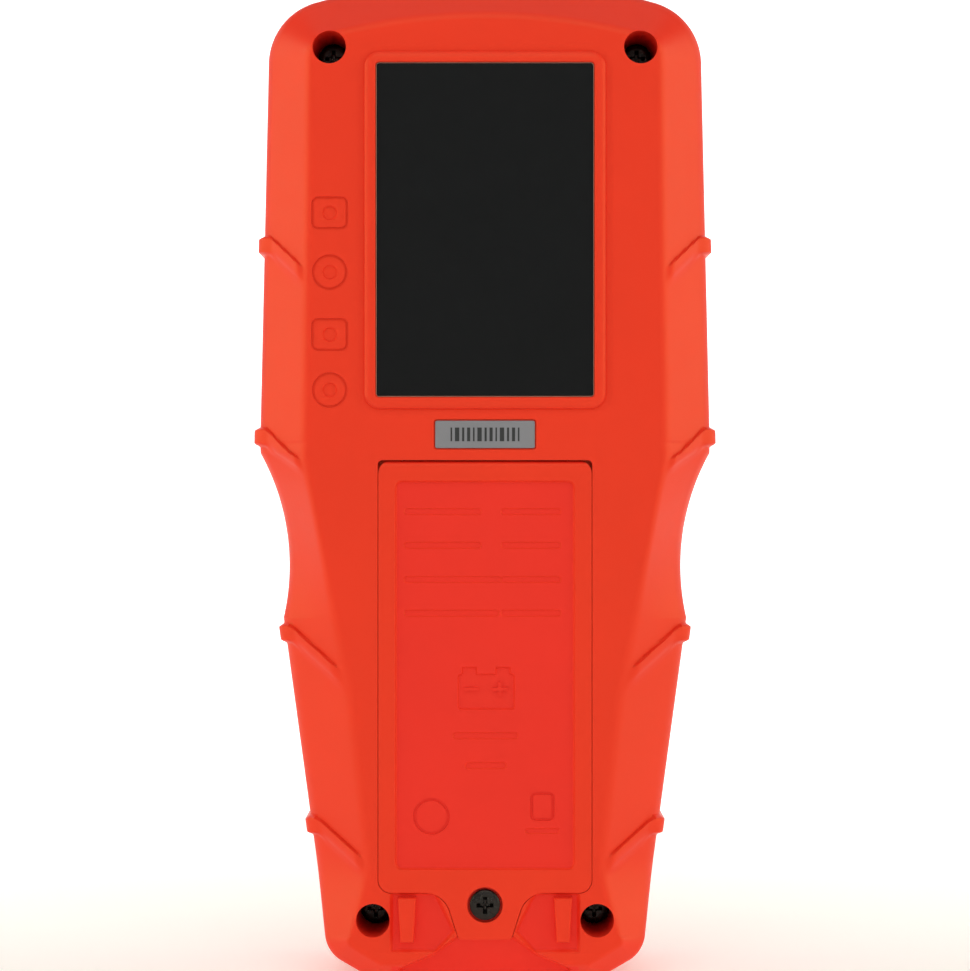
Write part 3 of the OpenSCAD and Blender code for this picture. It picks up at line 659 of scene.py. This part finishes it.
def door_tab(x):
    """Root and tongue of a tab that hooks behind the shell above the door."""
    root_z, tip_z, near_y = DOOR_Z1 - 2.5, DOOR_Z1 + 2.3, BACK_Y + WALL + 0.15
    far_y = BACK_Y + DOOR_T + 1.6
    root = block("tab", x - TAB_W, x + TAB_W, BACK_Y + DOOR_T - 0.6, far_y, root_z, HINGE_Z)
    tongue = [(near_y, root_z), (far_y, root_z), (far_y, tip_z - 0.7), (far_y - 0.3, tip_z - 0.1),
              (near_y + 0.35, tip_z), (near_y, tip_z - 0.3)]
    return root, along_x("tab", tongue, x - TAB_W, x + TAB_W)


def door_panel():
    inner_y, beyond = BACK_Y + DOOR_T, DOOR_W / 2 + 1
    plate = slab("door_panel", grown(door_outline, DOOR_SWELL), rounded_levels(BACK_Y, inner_y, 0.12))
    kept = block("kept", -beyond, beyond, BACK_Y - 1, inner_y + 1, 0, HINGE_Z)
    edge = along_x("edge", bend(HINGE_Y, HINGE_Z, DOOR_T / 2, 0, 360, 48)[:-1], -beyond, beyond)
    combine(plate, [joined([kept, edge])], "INTERSECT")
    combine(plate, [tab for x in TAB_POINTS for tab in door_tab(x)], "UNION")
    ribs = [block("rib", x - 0.5, x + 0.5, inner_y - 0.3, inner_y + 0.7, 21, 76) for x in (-13.2, 13.2)]
    combine(plate, ribs, "UNION")
    panel = rounded(0, PANEL_Z, PANEL_W, PANEL_H, 1.0)
    cutters = [slab("panel", panel, dish_levels(BACK_Y, PANEL_DEEP, 0.22)),
               slab("screw_seat", circle(0, DOOR_SCREW_Z, 2.8), flared_levels(BACK_Y, BACK_Y + 1, 0.2)),
               rod("bore", 0, DOOR_SCREW_Z, 1.5, BACK_Y, inner_y + 1)]
    combine(plate, cutters, "DIFFERENCE")
    combine(plate, door_marks(), "DIFFERENCE")
    return soften(plate)


def turned(name, x, z, profile, steps=48):
    """Solid of revolution about an axis along y; the profile lists depths y and radii."""
    return slab(name, circle(x, z, 0.0, steps), profile)


def cross_cutter(x, z, face_y, depth, reach):
    """Tapered cross recess for a screwdriver."""
    blades = []
    corners = ((-1, -1), (1, -1), (1, 1), (-1, 1))
    for wide, tall in ((reach, 0.34), (0.34, reach)):
        rings = [[(x + right * wide * share, y, z + up * tall * share) for right, up in corners]
                 for y, share in ((face_y - 0.5, 1.1), (face_y, 1.0), (face_y + depth, 0.55))]
        blades.append(loft("blade", rings))
    pit = turned("pit", x, z, [(face_y - 0.5, reach * 0.5), (face_y, reach * 0.44),
                               (face_y + depth * 1.2, 0.12)], 16)
    return joined([*blades, pit])


def screw(name, x, z, face_y, head_r, head_h, shank_r, end_y):
    """Pan-head screw with a cross recess and a threaded shank."""
    crown = [(face_y + 0.32 * head_h * (1 - sin(a)), head_r * (0.62 + 0.38 * cos(a)))
             for a in (pi / 2 * (1 - i / 6) for i in range(7))]
    pitch, under = 0.5, face_y + head_h
    thread = []
    y = under + 0.6
    while y < end_y - 0.8:
        thread += [(y, shank_r - 0.16), (y + pitch / 2, shank_r)]
        y += pitch
    profile = crown + [(under, head_r), (under + 0.02, shank_r)] + thread
    profile += [(end_y - 0.4, shank_r - 0.1), (end_y, shank_r * 0.6)]
    body = turned(name, x, z, profile)
    combine(body, [cross_cutter(x, z, face_y, 0.9, head_r * 0.56)], "DIFFERENCE")
    return body


def case_screws():
    """All four case screws as one piece."""
    made = [screw("case_screw_set", x, z, wells_low.y, 2.5, 1.8, 1.5, wells_high.y) for x, z in CASE_POINTS]
    return soften(joined(made), 28)


def pad_plate():
    outline = rounded(0, PAD_Z, PAD_W - SNUG, PAD_H - SNUG, 0.45)
    return soften(slab("pad_plate", outline, rounded_levels(pad_low.y, pad_high.y, 0.12)))


def pad_edge_highlight():
    """Thin pale band round the pad's edge: a painted highlight where the edge catches the light."""
    outer = slab("pad_edge_highlight", rounded(0, PAD_Z, PAD_W, PAD_H, 0.5),
                 rounded_levels(pad_low.y + 0.03, pad_high.y - 0.3, 0.05, 2))
    inner = slab("inner", rounded(0, PAD_Z, PAD_W - 0.14, PAD_H - 0.14, 0.42),
                 [(pad_low.y - 1, 0.0), (pad_high.y + 1, 0.0)])
    return soften(combine(outer, [inner], "DIFFERENCE"))


def label_blank():
    return soften(slab("label_blank", spanning("label_plate", 0.3),
                       rounded_levels(label_low.y, label_high.y, 0.1, 2)))


def label_bars():
    """Plain upright bars on the label, of uneven widths."""
    widths = [(0.25, 0.5, 0.35, 0.7)[i * 7 % 4] for i in range(13)]
    space, half_h = 0.45, 1.1
    x = -(sum(widths) + space * (len(widths) - 1)) / 2
    bars = []
    for w in widths:
        bars.append(block("label_bar_set", x, x + w, label_low.y - 0.03, label_low.y + 0.1,
                          LABEL_Z - half_h, LABEL_Z + half_h))
        x += w + space
    return soften(joined(bars))


def foam_strip():
    """Soft foam strip glued inside the door, its corners pulled in."""
    low, high = cad("door_foam")
    levels = [(low.y, -0.15), (low.y + 0.3, 0.0), (high.y - 0.5, 0.0), (high.y - 0.15, -0.15),
              (high.y, -0.6)]
    return soften(slab("foam_strip", spanning("door_foam", 1.5), levels), 70)


# ---- display side ----

def bezel_ring():
    size = bezel_high - bezel_low
    ring = slab("bezel_ring", spanning("front_bezel", BEZEL_R),
                rounded_levels(bezel_high.y, bezel_low.y, 0.4))
    inner = slab("inner", rounded(0, DISPLAY_Z, size.x - 2 * BEZEL_W, size.z - 2 * BEZEL_W, 3.3),
                 flared_levels(bezel_high.y, bezel_low.y - 1, 0.3))
    return soften(combine(ring, [inner], "DIFFERENCE"))


def lens_plate():
    return soften(slab("lens_plate", spanning("display_lens", LENS_R),
                       rounded_levels(lens_high.y, lens_low.y, 0.12, 2)))


SEGMENTS = {"2": "abged", "4": "fgbc", "7": "abc"}


def digit_bars(figure, x, z, w, h):
    """Seven-segment figure, seen from the front: +X is to the viewer's left."""
    t, gap = 1.5, 0.25
    upright, flat = h / 2 - t / 2 - gap, w - t - 2 * gap
    places = {"a": (0, h / 2, flat, t), "g": (0, 0, flat, t), "d": (0, -h / 2, flat, t),
              "b": (-w / 2, h / 4, t, upright), "c": (-w / 2, -h / 4, t, upright),
              "f": (w / 2, h / 4, t, upright), "e": (w / 2, -h / 4, t, upright)}
    return [rounded(x + dx, z + dz, wide, tall, 0.35, 3)
            for dx, dz, wide, tall in (places[key] for key in SEGMENTS[figure])]


def display_figures():
    """A made-up reading, with a bar scale under it."""
    shapes = []
    for i, figure in enumerate("247"):
        shapes += digit_bars(figure, 11.5 - 11.5 * i, DISPLAY_Z + 3.5, 6.4, 13)
    shapes.append(circle(-5.75, DISPLAY_Z - 3.2, 0.8, 16))
    shapes += [rounded(15 - 2.5 * i, DISPLAY_Z - 9.5, 1.8, 2.4 + 0.25 * i, 0.3, 3) for i in range(13)]
    levels = [(LCD_FACE + 0.01, 0.0), (LCD_FACE + 0.06, 0.0)]
    made = [slab("display_figures", shape, levels) for shape in shapes]
    return soften(joined(made))


def key_icon(kind, at):
    """Generic icon sunk into a key."""
    x, z = at
    levels = dish_levels(KEY_TOP_Y, -0.3, 0.1, 3)
    if kind == "power":
        ring = outlined(circle(x, z, 3.2), 0.6, KEY_TOP_Y, -0.3)
        combine(ring, [block("gap", x - 1.1, x + 1.1, KEY_TOP_Y - 2, KEY_TOP_Y + 2, z + 1, z + 4)],
                "DIFFERENCE")
        return [ring, block("stroke", x - 0.32, x + 0.32, KEY_TOP_Y - 0.3, KEY_TOP_Y + 1, z + 0.4, z + 3.6)]
    if kind == "mode":
        return [slab("arrow", polygon((x + 1.6, z - 1.5), (x + 1.6, z + 1.5), (x - 1.6, z)), levels)]
    if kind == "alarm":
        bars = [(-1.8, 1.2), (0, 2.2), (1.8, 3.2)]
        return [slab("bar", rounded(x - dx, z - 1.6 + tall / 2, 0.9, tall, 0.3), levels)
                for dx, tall in bars]
    return [slab("bar", rounded(x + dx, z, 0.9, 3.0, 0.3), levels) for dx in (-1.0, 1.0)]


def key_cap(name, kind, at, cap):
    """Rubber key: rounded cap, flange under the wall and stem above its switch."""
    low_y, flange_y = cad(name)[0].y, 13.3
    made = slab(name + "_cap", cap, rounded_levels(KEY_TOP_Y, flange_y + 0.5, 0.9, 6))
    flange = slab("flange", grown(cap, KEY_FLANGE), rounded_levels(FRONT_Y - WALL - 0.2, flange_y, 0.3, 2))
    stem = turned("stem", *at, [(low_y, 2.1), (low_y + 0.3, 2.4), (flange_y + 0.3, 2.4)])
    combine(made, [flange, stem], "UNION")
    combine(made, key_icon(kind, at), "DIFFERENCE")
    return soften(made)


def pipe_lens(name, x):
    low_y, high_y = cad(name)[0].y, cad(name)[1].y
    collar_y, collar_r, wall_y, step = 12.6, PIPE_R + 1, FRONT_Y - WALL, 0.01
    dome = [(high_y - 0.5 * (1 - sin(a)), max(PIPE_R * cos(a) ** 0.5, 0.08))
            for a in (pi / 2 * i / 6 for i in range(7))]
    profile = [(low_y, PIPE_R), (collar_y, PIPE_R), (collar_y + step, collar_r), (wall_y, collar_r),
               (wall_y + step, PIPE_R)] + dome
    return soften(turned(name + "_lens", x, PIPE_Z, profile, 32))


# ---- battery ----

def upright(name, outline, levels):
    """Solid with an outline in x and y. Each level is a height z and how much the outline grows."""
    return loft(name, [[(x, y, z) for x, y in outline(grow)] for z, grow in levels])


def battery_cell():
    """The cell in its wrap, with a rolled edge at both ends."""
    low, high = cad("battery")
    levels = [(low.z, -1.0), (low.z + 0.15, -0.35), (low.z + 0.6, 0.0), (high.z - 2.6, 0.0),
              (high.z - 2.3, -0.12), (high.z - 1.9, -0.12), (high.z - 1.6, 0.0), (high.z - 0.5, 0.0),
              (high.z - 0.1, -0.4), (high.z - 0.1, -1.0)]
    return soften(upright("battery_cell", spanning("battery", 2.0, 1), levels))


def snap(name, x, y, z, outer, inner, tall, steps):
    """Snap terminal standing on the battery."""
    levels = [(z, 0.0), (z + 0.3, -0.04 * outer), (z + tall - 0.4, -0.07 * outer),
              (z + tall - 0.15, 0.0), (z + tall, -0.2)]
    hole = upright("hole", circle(x, y, inner, steps), [(z + 0.6, 0.0), (z + tall + 1, 0.0)])
    return combine(upright(name, circle(x, y, outer, steps), levels), [hole], "DIFFERENCE")


def battery_snaps():
    low, high = cad("battery_terminals")
    y, tall = (low.y + high.y) / 2, high.z - low.z
    small = snap("battery_snaps", high.x - 2.9, y, low.z, 2.9, 2.0, tall, 40)
    large = snap("snap", low.x + 3.6, y, low.z, 3.6, 2.7, tall, 6)
    return soften(joined([small, large]))


def clip_cap():
    """Moulded cap over the snaps, with eased edges at both ends."""
    low, high = cad("battery_clip")
    levels = [(low.z, -0.3), (low.z + 0.3, 0.0), (high.z - 0.6, 0.0), (high.z - 0.15, -0.25), (high.z, -0.7)]
    return soften(upright("clip_cap", spanning("battery_clip", 2.0, 1), levels))


def lead_tube(name, side):
    """Short lead from the clip to the main board, along a smooth curve."""
    data = bpy.data.curves.new(name, "CURVE")
    data.dimensions = "3D"
    data.bevel_depth = LEAD_R * MM
    data.bevel_resolution = 4
    spline = data.splines.new("BEZIER")
    spline.bezier_points.add(len(LEAD_ROUTE) - 1)
    for point, (x, y, z) in zip(spline.bezier_points, LEAD_ROUTE):
        point.co = (side * x * MM, y * MM, z * MM)
        point.handle_left_type = point.handle_right_type = "AUTO"
    data.use_fill_caps = True
    return linked(name, data)


# ---- materials ----

def linear(value):
    value /= 255
    return value / 12.92 if value <= 0.04045 else ((value + 0.055) / 1.055) ** 2.4


def srgb(r, g, b):
    return (linear(r), linear(g), linear(b), 1.0)


def shader(name):
    """A new material: its nodes, its links and its main shader."""
    made = bpy.data.materials.new(name)
    made.use_nodes = True
    tree = made.node_tree
    return made, tree, tree.nodes["Principled BSDF"]


def place_on(tree):
    """Where a point lies on its object, in metres."""
    return tree.nodes.new("ShaderNodeTexCoord").outputs["Object"]


def axes_on(tree):
    axes = tree.nodes.new("ShaderNodeSeparateXYZ")
    tree.links.new(place_on(tree), axes.inputs["Vector"])
    return axes.outputs


def ramp(tree, value, ends, results=(0.0, 1.0)):
    """A value turned evenly from one span to another, and held at its ends."""
    step = tree.nodes.new("ShaderNodeMapRange")
    step.inputs["From Min"].default_value, step.inputs["From Max"].default_value = ends
    step.inputs["To Min"].default_value, step.inputs["To Max"].default_value = results
    tree.links.new(value, step.inputs["Value"])
    return step.outputs["Result"]


def noise(tree, scale, detail=3.0, stretch=None):
    """Noise that is fixed to the object."""
    pattern = tree.nodes.new("ShaderNodeTexNoise")
    pattern.inputs["Scale"].default_value = scale
    pattern.inputs["Detail"].default_value = detail
    source = place_on(tree)
    if stretch:
        turn = tree.nodes.new("ShaderNodeMapping")
        turn.inputs["Scale"].default_value = stretch
        tree.links.new(source, turn.inputs["Vector"])
        source = turn.outputs["Vector"]
    tree.links.new(source, pattern.inputs["Vector"])
    return pattern.outputs["Fac"]


def between(tree, fac, low, high, at=(0.35, 0.65)):
    """A ramp from one colour to another."""
    mix = tree.nodes.new("ShaderNodeValToRGB")
    for element, position, colour in zip(mix.color_ramp.elements, at, (low, high)):
        element.position = position
        element.color = colour
    tree.links.new(fac, mix.inputs["Fac"])
    return mix.outputs["Color"]


def bump(tree, body, height, strength, distance):
    relief = tree.nodes.new("ShaderNodeBump")
    relief.inputs["Strength"].default_value = strength
    relief.inputs["Distance"].default_value = distance
    tree.links.new(height, relief.inputs["Height"])
    tree.links.new(relief.outputs["Normal"], body.inputs["Normal"])


def rough(tree, body, fac, low, high):
    grey = between(tree, fac, (low, low, low, 1), (high, high, high, 1), (0.25, 0.75))
    tree.links.new(grey, body.inputs["Roughness"])


def moulded(name, colour, shade=0.94, roughness=(0.4, 0.5), grain=2600, relief=0.08, metallic=0.0,
            specular=0.5):
    """Moulded surface: fine grain in the relief, slight mottling in colour and gloss."""
    made, tree, body = shader(name)
    darker = tuple(c * shade for c in colour[:3]) + (1.0,)
    tree.links.new(between(tree, noise(tree, 60), darker, colour), body.inputs["Base Color"])
    rough(tree, body, noise(tree, 400), *roughness)
    bump(tree, body, noise(tree, grain, 2), relief, 0.0001)
    body.inputs["Metallic"].default_value = metallic
    body.inputs["Specular IOR Level"].default_value = specular
    return made


def see_through(name, colour, roughness, density=0.0):
    """Clear or tinted plastic, with faint smears in its gloss."""
    made, tree, body = shader(name)
    tree.links.new(between(tree, noise(tree, 90), colour, tuple(c * 0.96 for c in colour[:3]) + (1.0,)),
                   body.inputs["Base Color"])
    rough(tree, body, noise(tree, 150), roughness, roughness + 0.05)
    body.inputs["Transmission Weight"].default_value = 1.0 - density
    body.inputs["IOR"].default_value = 1.49
    return made


def board(name, mask, copper):
    """Circuit board: solder mask with tracks that show through it."""
    made, tree, body = shader(name)
    tracks = noise(tree, 900, 0.0, (1.0, 1.0, 0.25))
    tree.links.new(between(tree, tracks, mask, copper, (0.5, 0.54)), body.inputs["Base Color"])
    rough(tree, body, noise(tree, 300), 0.25, 0.4)
    bump(tree, body, tracks, 0.15, 0.0001)
    return made


def foamed(name, colour):
    """Open foam: small cells in colour and relief."""
    made, tree, body = shader(name)
    cells = tree.nodes.new("ShaderNodeTexVoronoi")
    cells.inputs["Scale"].default_value = 1600
    tree.links.new(place_on(tree), cells.inputs["Vector"])
    darker = tuple(c * 0.5 for c in colour[:3]) + (1.0,)
    tree.links.new(between(tree, cells.outputs["Distance"], darker, colour, (0.1, 0.6)),
                   body.inputs["Base Color"])
    bump(tree, body, cells.outputs["Distance"], 0.6, 0.0003)
    body.inputs["Roughness"].default_value = 0.95
    return made


def banded(name, dark, light, level, spread):
    """Wrap of a cell: two colours that meet at a height, printed slightly unevenly."""
    made, tree, body = shader(name)
    height = ramp(tree, axes_on(tree)["Z"], (level - spread, level + spread))
    tree.links.new(between(tree, height, dark, light, (0.45, 0.55)), body.inputs["Base Color"])
    rough(tree, body, noise(tree, 200), 0.22, 0.34)
    bump(tree, body, noise(tree, 500), 0.04, 0.0001)
    return made


shell_orange = moulded("shell_orange", srgb(239, 52, 33), 0.97, (0.36, 0.44), 2600, 0.07, specular=0.35)
shell_orange.node_tree.nodes["Principled BSDF"].inputs["Specular Tint"].default_value = (1, 0.88, 0.45, 1)
# Floors of recesses: a matt finish, and painted shade in a deeper, less orange red than the shell.
matt_shaded_orange = moulded("matt_shaded_orange", srgb(241, 49, 34), 0.97, (0.5, 0.58), 2600, 0.1, specular=0.22)
pad_black = moulded("pad_black", srgb(12, 14, 17), 0.9, (0.42, 0.5), 1800, 0.1, specular=0.15)
# Painted highlight: the pale colour of the thin band round the pad's edge.
pad_highlight_line = moulded("pad_highlight_line", srgb(214, 160, 140), 0.9, (0.5, 0.6))
label_grey = moulded("label_grey", srgb(134, 135, 143), 0.95, (0.3, 0.38), 3000, 0.05, specular=0.3)
label_ink = moulded("label_ink", srgb(40, 42, 46), 0.9, (0.45, 0.55), 3000, 0.05)
screw_black = moulded("screw_black", srgb(52, 49, 47), 0.7, (0.2, 0.34), 1500, 0.25, metallic=0.9)
steel = moulded("steel", srgb(196, 197, 200), 0.9, (0.22, 0.36), 1500, 0.06, metallic=1.0)
brass = moulded("brass", srgb(201, 164, 94), 0.88, (0.25, 0.4), 1500, 0.08, metallic=1.0)
dark_plastic = moulded("dark_plastic", srgb(44, 45, 48), 0.9, (0.35, 0.45), 2600, 0.08)
white_plastic = moulded("white_plastic", srgb(222, 222, 214), 0.96, (0.4, 0.5), 2400, 0.06)
key_rubber = moulded("key_rubber", srgb(56, 57, 61), 0.9, (0.55, 0.68), 2200, 0.15)
seal_rubber = moulded("seal_rubber", srgb(34, 34, 36), 0.88, (0.6, 0.75), 2000, 0.15)
lcd_cell = moulded("lcd_cell", srgb(150, 160, 138), 0.97, (0.2, 0.28), 900, 0.02)
lcd_ink = moulded("lcd_ink", srgb(34, 38, 36), 0.9, (0.3, 0.4), 900, 0.02)
diffuser = moulded("diffuser", srgb(240, 241, 236), 0.97, (0.5, 0.6), 1200, 0.05)
pink_rubber = moulded("pink_rubber", srgb(205, 140, 150), 0.85, (0.5, 0.65), 3000, 0.1)
switch_black = moulded("switch_black", srgb(30, 30, 32), 0.88, (0.3, 0.45), 2400, 0.08)
small_parts = moulded("small_parts", srgb(178, 156, 110), 0.7, (0.3, 0.5), 2000, 0.08)
ribbon_film = moulded("ribbon_film", srgb(214, 200, 172), 0.9, (0.3, 0.4), 1500, 0.05)
battery_wrap = banded("battery_wrap", srgb(44, 50, 62), srgb(168, 171, 176), 0.052, 0.004)
red_wire = moulded("red_wire", srgb(196, 30, 30), 0.9, (0.35, 0.45), 2400, 0.05)
black_wire = moulded("black_wire", srgb(26, 26, 27), 0.85, (0.35, 0.45), 2400, 0.05)
clear_window = see_through("clear_window", (0.92, 0.95, 0.96, 1.0), 0.03)
board_green = board("board_green", srgb(18, 86, 52), srgb(44, 122, 74))
foam_grey = foamed("foam_grey", srgb(64, 64, 67))
pipe_finishes = {"light_pipe_green": see_through("pipe_green", srgb(70, 214, 110), 0.12, 0.45),
                 "light_pipe_amber": see_through("pipe_amber", srgb(255, 178, 58), 0.12, 0.45),
                 "light_pipe_red": see_through("pipe_red", srgb(235, 52, 40), 0.12, 0.45)}

# ---- dressing the object ----


def dress(made, finish, body="meter", stands_for=()):
    """Gives a piece its material and its body, and hides the CAD nodes it stands for."""
    made.data.materials.clear()
    made.data.materials.append(finish)
    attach(made, body)
    if stands_for:
        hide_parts(*stands_for)
    return made


def matt_shaded_floors(made, inside):
    """Gives the floors of a piece's sunk areas a matt finish with painted shade: a deeper, less orange red
    and a duller gloss.
    """
    made.data.materials.append(matt_shaded_orange)
    for face in made.data.polygons:
        x, y, z = (c / MM for c in face.center)
        if face.normal.y < -0.7 and inside(x, y, z):
            face.material_index = 1


rear = dress(rear_shell(), shell_orange, stands_for=("rear_housing",))
# The floors of the foot's bays and finger notch get the matt finish with painted shade.
matt_shaded_floors(rear, lambda x, y, z: abs(x) < 15 and z < 15 and y > BACK_Y + 0.6 * BAY_DEEP)
dress(front_shell(), shell_orange, stands_for=("front_housing",))
dress(pad_plate(), pad_black, stands_for=("sensor_pad",))
# The thin pale band round the pad paints the highlight on its edge.
dress(pad_edge_highlight(), pad_highlight_line)
dress(label_blank(), label_grey, stands_for=("label_plate",))
dress(label_bars(), label_ink)
door = dress(door_panel(), shell_orange, "door", ("battery_door",))
# The floor of the door's panel gets the matt finish with painted shade.
matt_shaded_floors(door, lambda x, y, z: abs(x) < PANEL_W / 2 - 0.1 and y > BACK_Y + 0.8 * PANEL_DEEP)
foam = dress(foam_strip(), foam_grey, "door", ("door_foam",))
dress(soften(screw("door_screw_black", 0, DOOR_SCREW_Z, screw_low.y, 2.45, 1.2, 1.3, screw_high.y), 28),
      screw_black, "door_fastener", ("door_screw",))
dress(case_screws(), screw_black, stands_for=("case_screws",))
dress(bezel_ring(), dark_plastic, stands_for=("front_bezel",))
dress(lens_plate(), clear_window, stands_for=("display_lens",))
dress(display_figures(), lcd_ink)
for node_name, (kind, body, at, cap) in KEYS.items():
    dress(key_cap(node_name, kind, at, cap), key_rubber, body, (node_name,))
for pipe_name, x in zip(pipe_finishes, PIPE_X):
    dress(pipe_lens(pipe_name, x), pipe_finishes[pipe_name],
          stands_for=(pipe_name,))
dress(battery_cell(), battery_wrap, stands_for=("battery",))
dress(battery_snaps(), steel, stands_for=("battery_terminals",))
dress(clip_cap(), dark_plastic, stands_for=("battery_clip",))
dress(lead_tube("lead_tube_red", 1), red_wire, stands_for=("lead_red",))
dress(lead_tube("lead_tube_black", -1), black_wire, stands_for=("lead_black",))

CAD_FINISHES = {"housing_seal": seal_rubber, "door_insert": brass, "case_inserts": brass,
                "lcd_frame": white_plastic, "lcd_glass": lcd_cell, "backlight": diffuser,
                "lcd_connector": pink_rubber, "keypad_mat": key_rubber, "key_switches": switch_black,
                "indicator_leds": white_plastic, "main_board": board_green,
                "microcontroller": switch_black, "board_parts": small_parts,
                "piezo_buzzer": switch_black, "board_screws": steel, "sensor_board": board_green,
                "sensor_shield": steel, "sensor_ribbon": ribbon_film, "ribbon_socket": white_plastic}
for node_name, finish in CAD_FINISHES.items():
    for material_slot in nodes[node_name].material_slots:
        material_slot.material = finish

# ---- camera, stage and light ----

# The view takes in VIEW_W at the depth of the outline's edge.
VIEW_W, VIEW_Z, VIEW_DISTANCE = 158.66, 80.1, 430.0
silhouette_y = SLOPE_Y + 0.3
camera_data = bpy.data.cameras.new("camera")
camera = linked("camera", camera_data)
camera.location = (0, (silhouette_y - VIEW_DISTANCE) * MM, VIEW_Z * MM)
camera.rotation_euler = (pi / 2, 0, 0)
camera_data.lens = camera_data.sensor_width * VIEW_DISTANCE / VIEW_W
camera_data.clip_start = 0.01
bpy.context.scene.camera = camera


def arithmetic(tree, operation, *values):
    step = tree.nodes.new("ShaderNodeMath")
    step.operation = operation
    for socket, value in zip(step.inputs, values):
        if isinstance(value, float):
            socket.default_value = value
        else:
            tree.links.new(value, socket)
    return step.outputs["Value"]


def backdrop():
    """White floor that sweeps up into a round wall, far from the object."""
    wall_r, bend_r, top, steps = 2.3, 1.1, 1.7, 96
    profile = [(0.3, 0.0), (wall_r - bend_r, 0.0)]
    profile += [(wall_r - bend_r + bend_r * sin(a), bend_r * (1 - cos(a)))
                for a in (pi / 2 * i / 16 for i in range(1, 17))]
    profile.append((wall_r, top))
    points = [(r * cos(2 * pi * i / steps), r * sin(2 * pi * i / steps), z)
              for r, z in profile for i in range(steps)]
    faces = [((k + 1) * steps + i, (k + 1) * steps + (i + 1) % steps,
              k * steps + (i + 1) % steps, k * steps + i)
             for k in range(len(profile) - 1) for i in range(steps)]
    faces.append(tuple(range(steps)))
    mesh = bpy.data.meshes.new("backdrop")
    mesh.from_pydata(points, [], faces)
    for face in mesh.polygons:
        face.use_smooth = True
    made = linked("backdrop", mesh)
    paper, tree, body = shader("paper")
    tree.links.new(between(tree, noise(tree, 3), srgb(246, 246, 246), srgb(250, 250, 250)),
                   body.inputs["Base Color"])
    body.inputs["Roughness"].default_value = 0.9
    # Straight behind the object the paper is lit from within, so that it stays white.
    axes = axes_on(tree)
    behind = ramp(tree, axes["Y"], (-0.05, 0.35), (0.0, 0.68))
    straight = ramp(tree, arithmetic(tree, "ABSOLUTE", axes["X"]), (0.6, 1.2), (1.0, 0.0))
    glow = arithmetic(tree, "MULTIPLY", behind, straight)
    tree.links.new(arithmetic(tree, "ADD", glow, 0.17), body.inputs["Emission Strength"])
    body.inputs["Emission Color"].default_value = (1, 1, 1, 1)
    made.data.materials.append(paper)


def softbox(name, place, target, size, power, colour=(1, 1, 1)):
    data = bpy.data.lights.new(name, "AREA")
    data.shape = "RECTANGLE"
    data.size, data.size_y = size
    data.energy = power
    data.color = colour
    lamp = linked(name, data)
    lamp.location = place
    lamp.rotation_euler = (Vector(target) - Vector(place)).to_track_quat("-Z", "Y").to_euler()


backdrop()
middle = (0, 0, 0.08)
WARM, MILD = (1, 0.95, 0.52), (1, 0.97, 0.85)
for name, side in (("left", -0.85), ("right", 0.85)):
    softbox(name, (side, -0.12, 0.18), middle, (0.7, 1.0), 3.4, WARM)
softbox("above", (0, -0.7, 1.0), middle, (1.2, 0.7), 3.8, MILD)
softbox("overhead", (0, 0.3, 2.2), (0, 0.3, 0), (2.5, 2.5), 6.5)
world = bpy.data.worlds.new("studio")
bpy.context.scene.world = world
world.use_nodes = True
background = world.node_tree.nodes["Background"].inputs
background["Color"].default_value = (1, 1, 1, 1)
background["Strength"].default_value = 0.12
bpy.context.scene.view_settings.view_transform = "Standard"
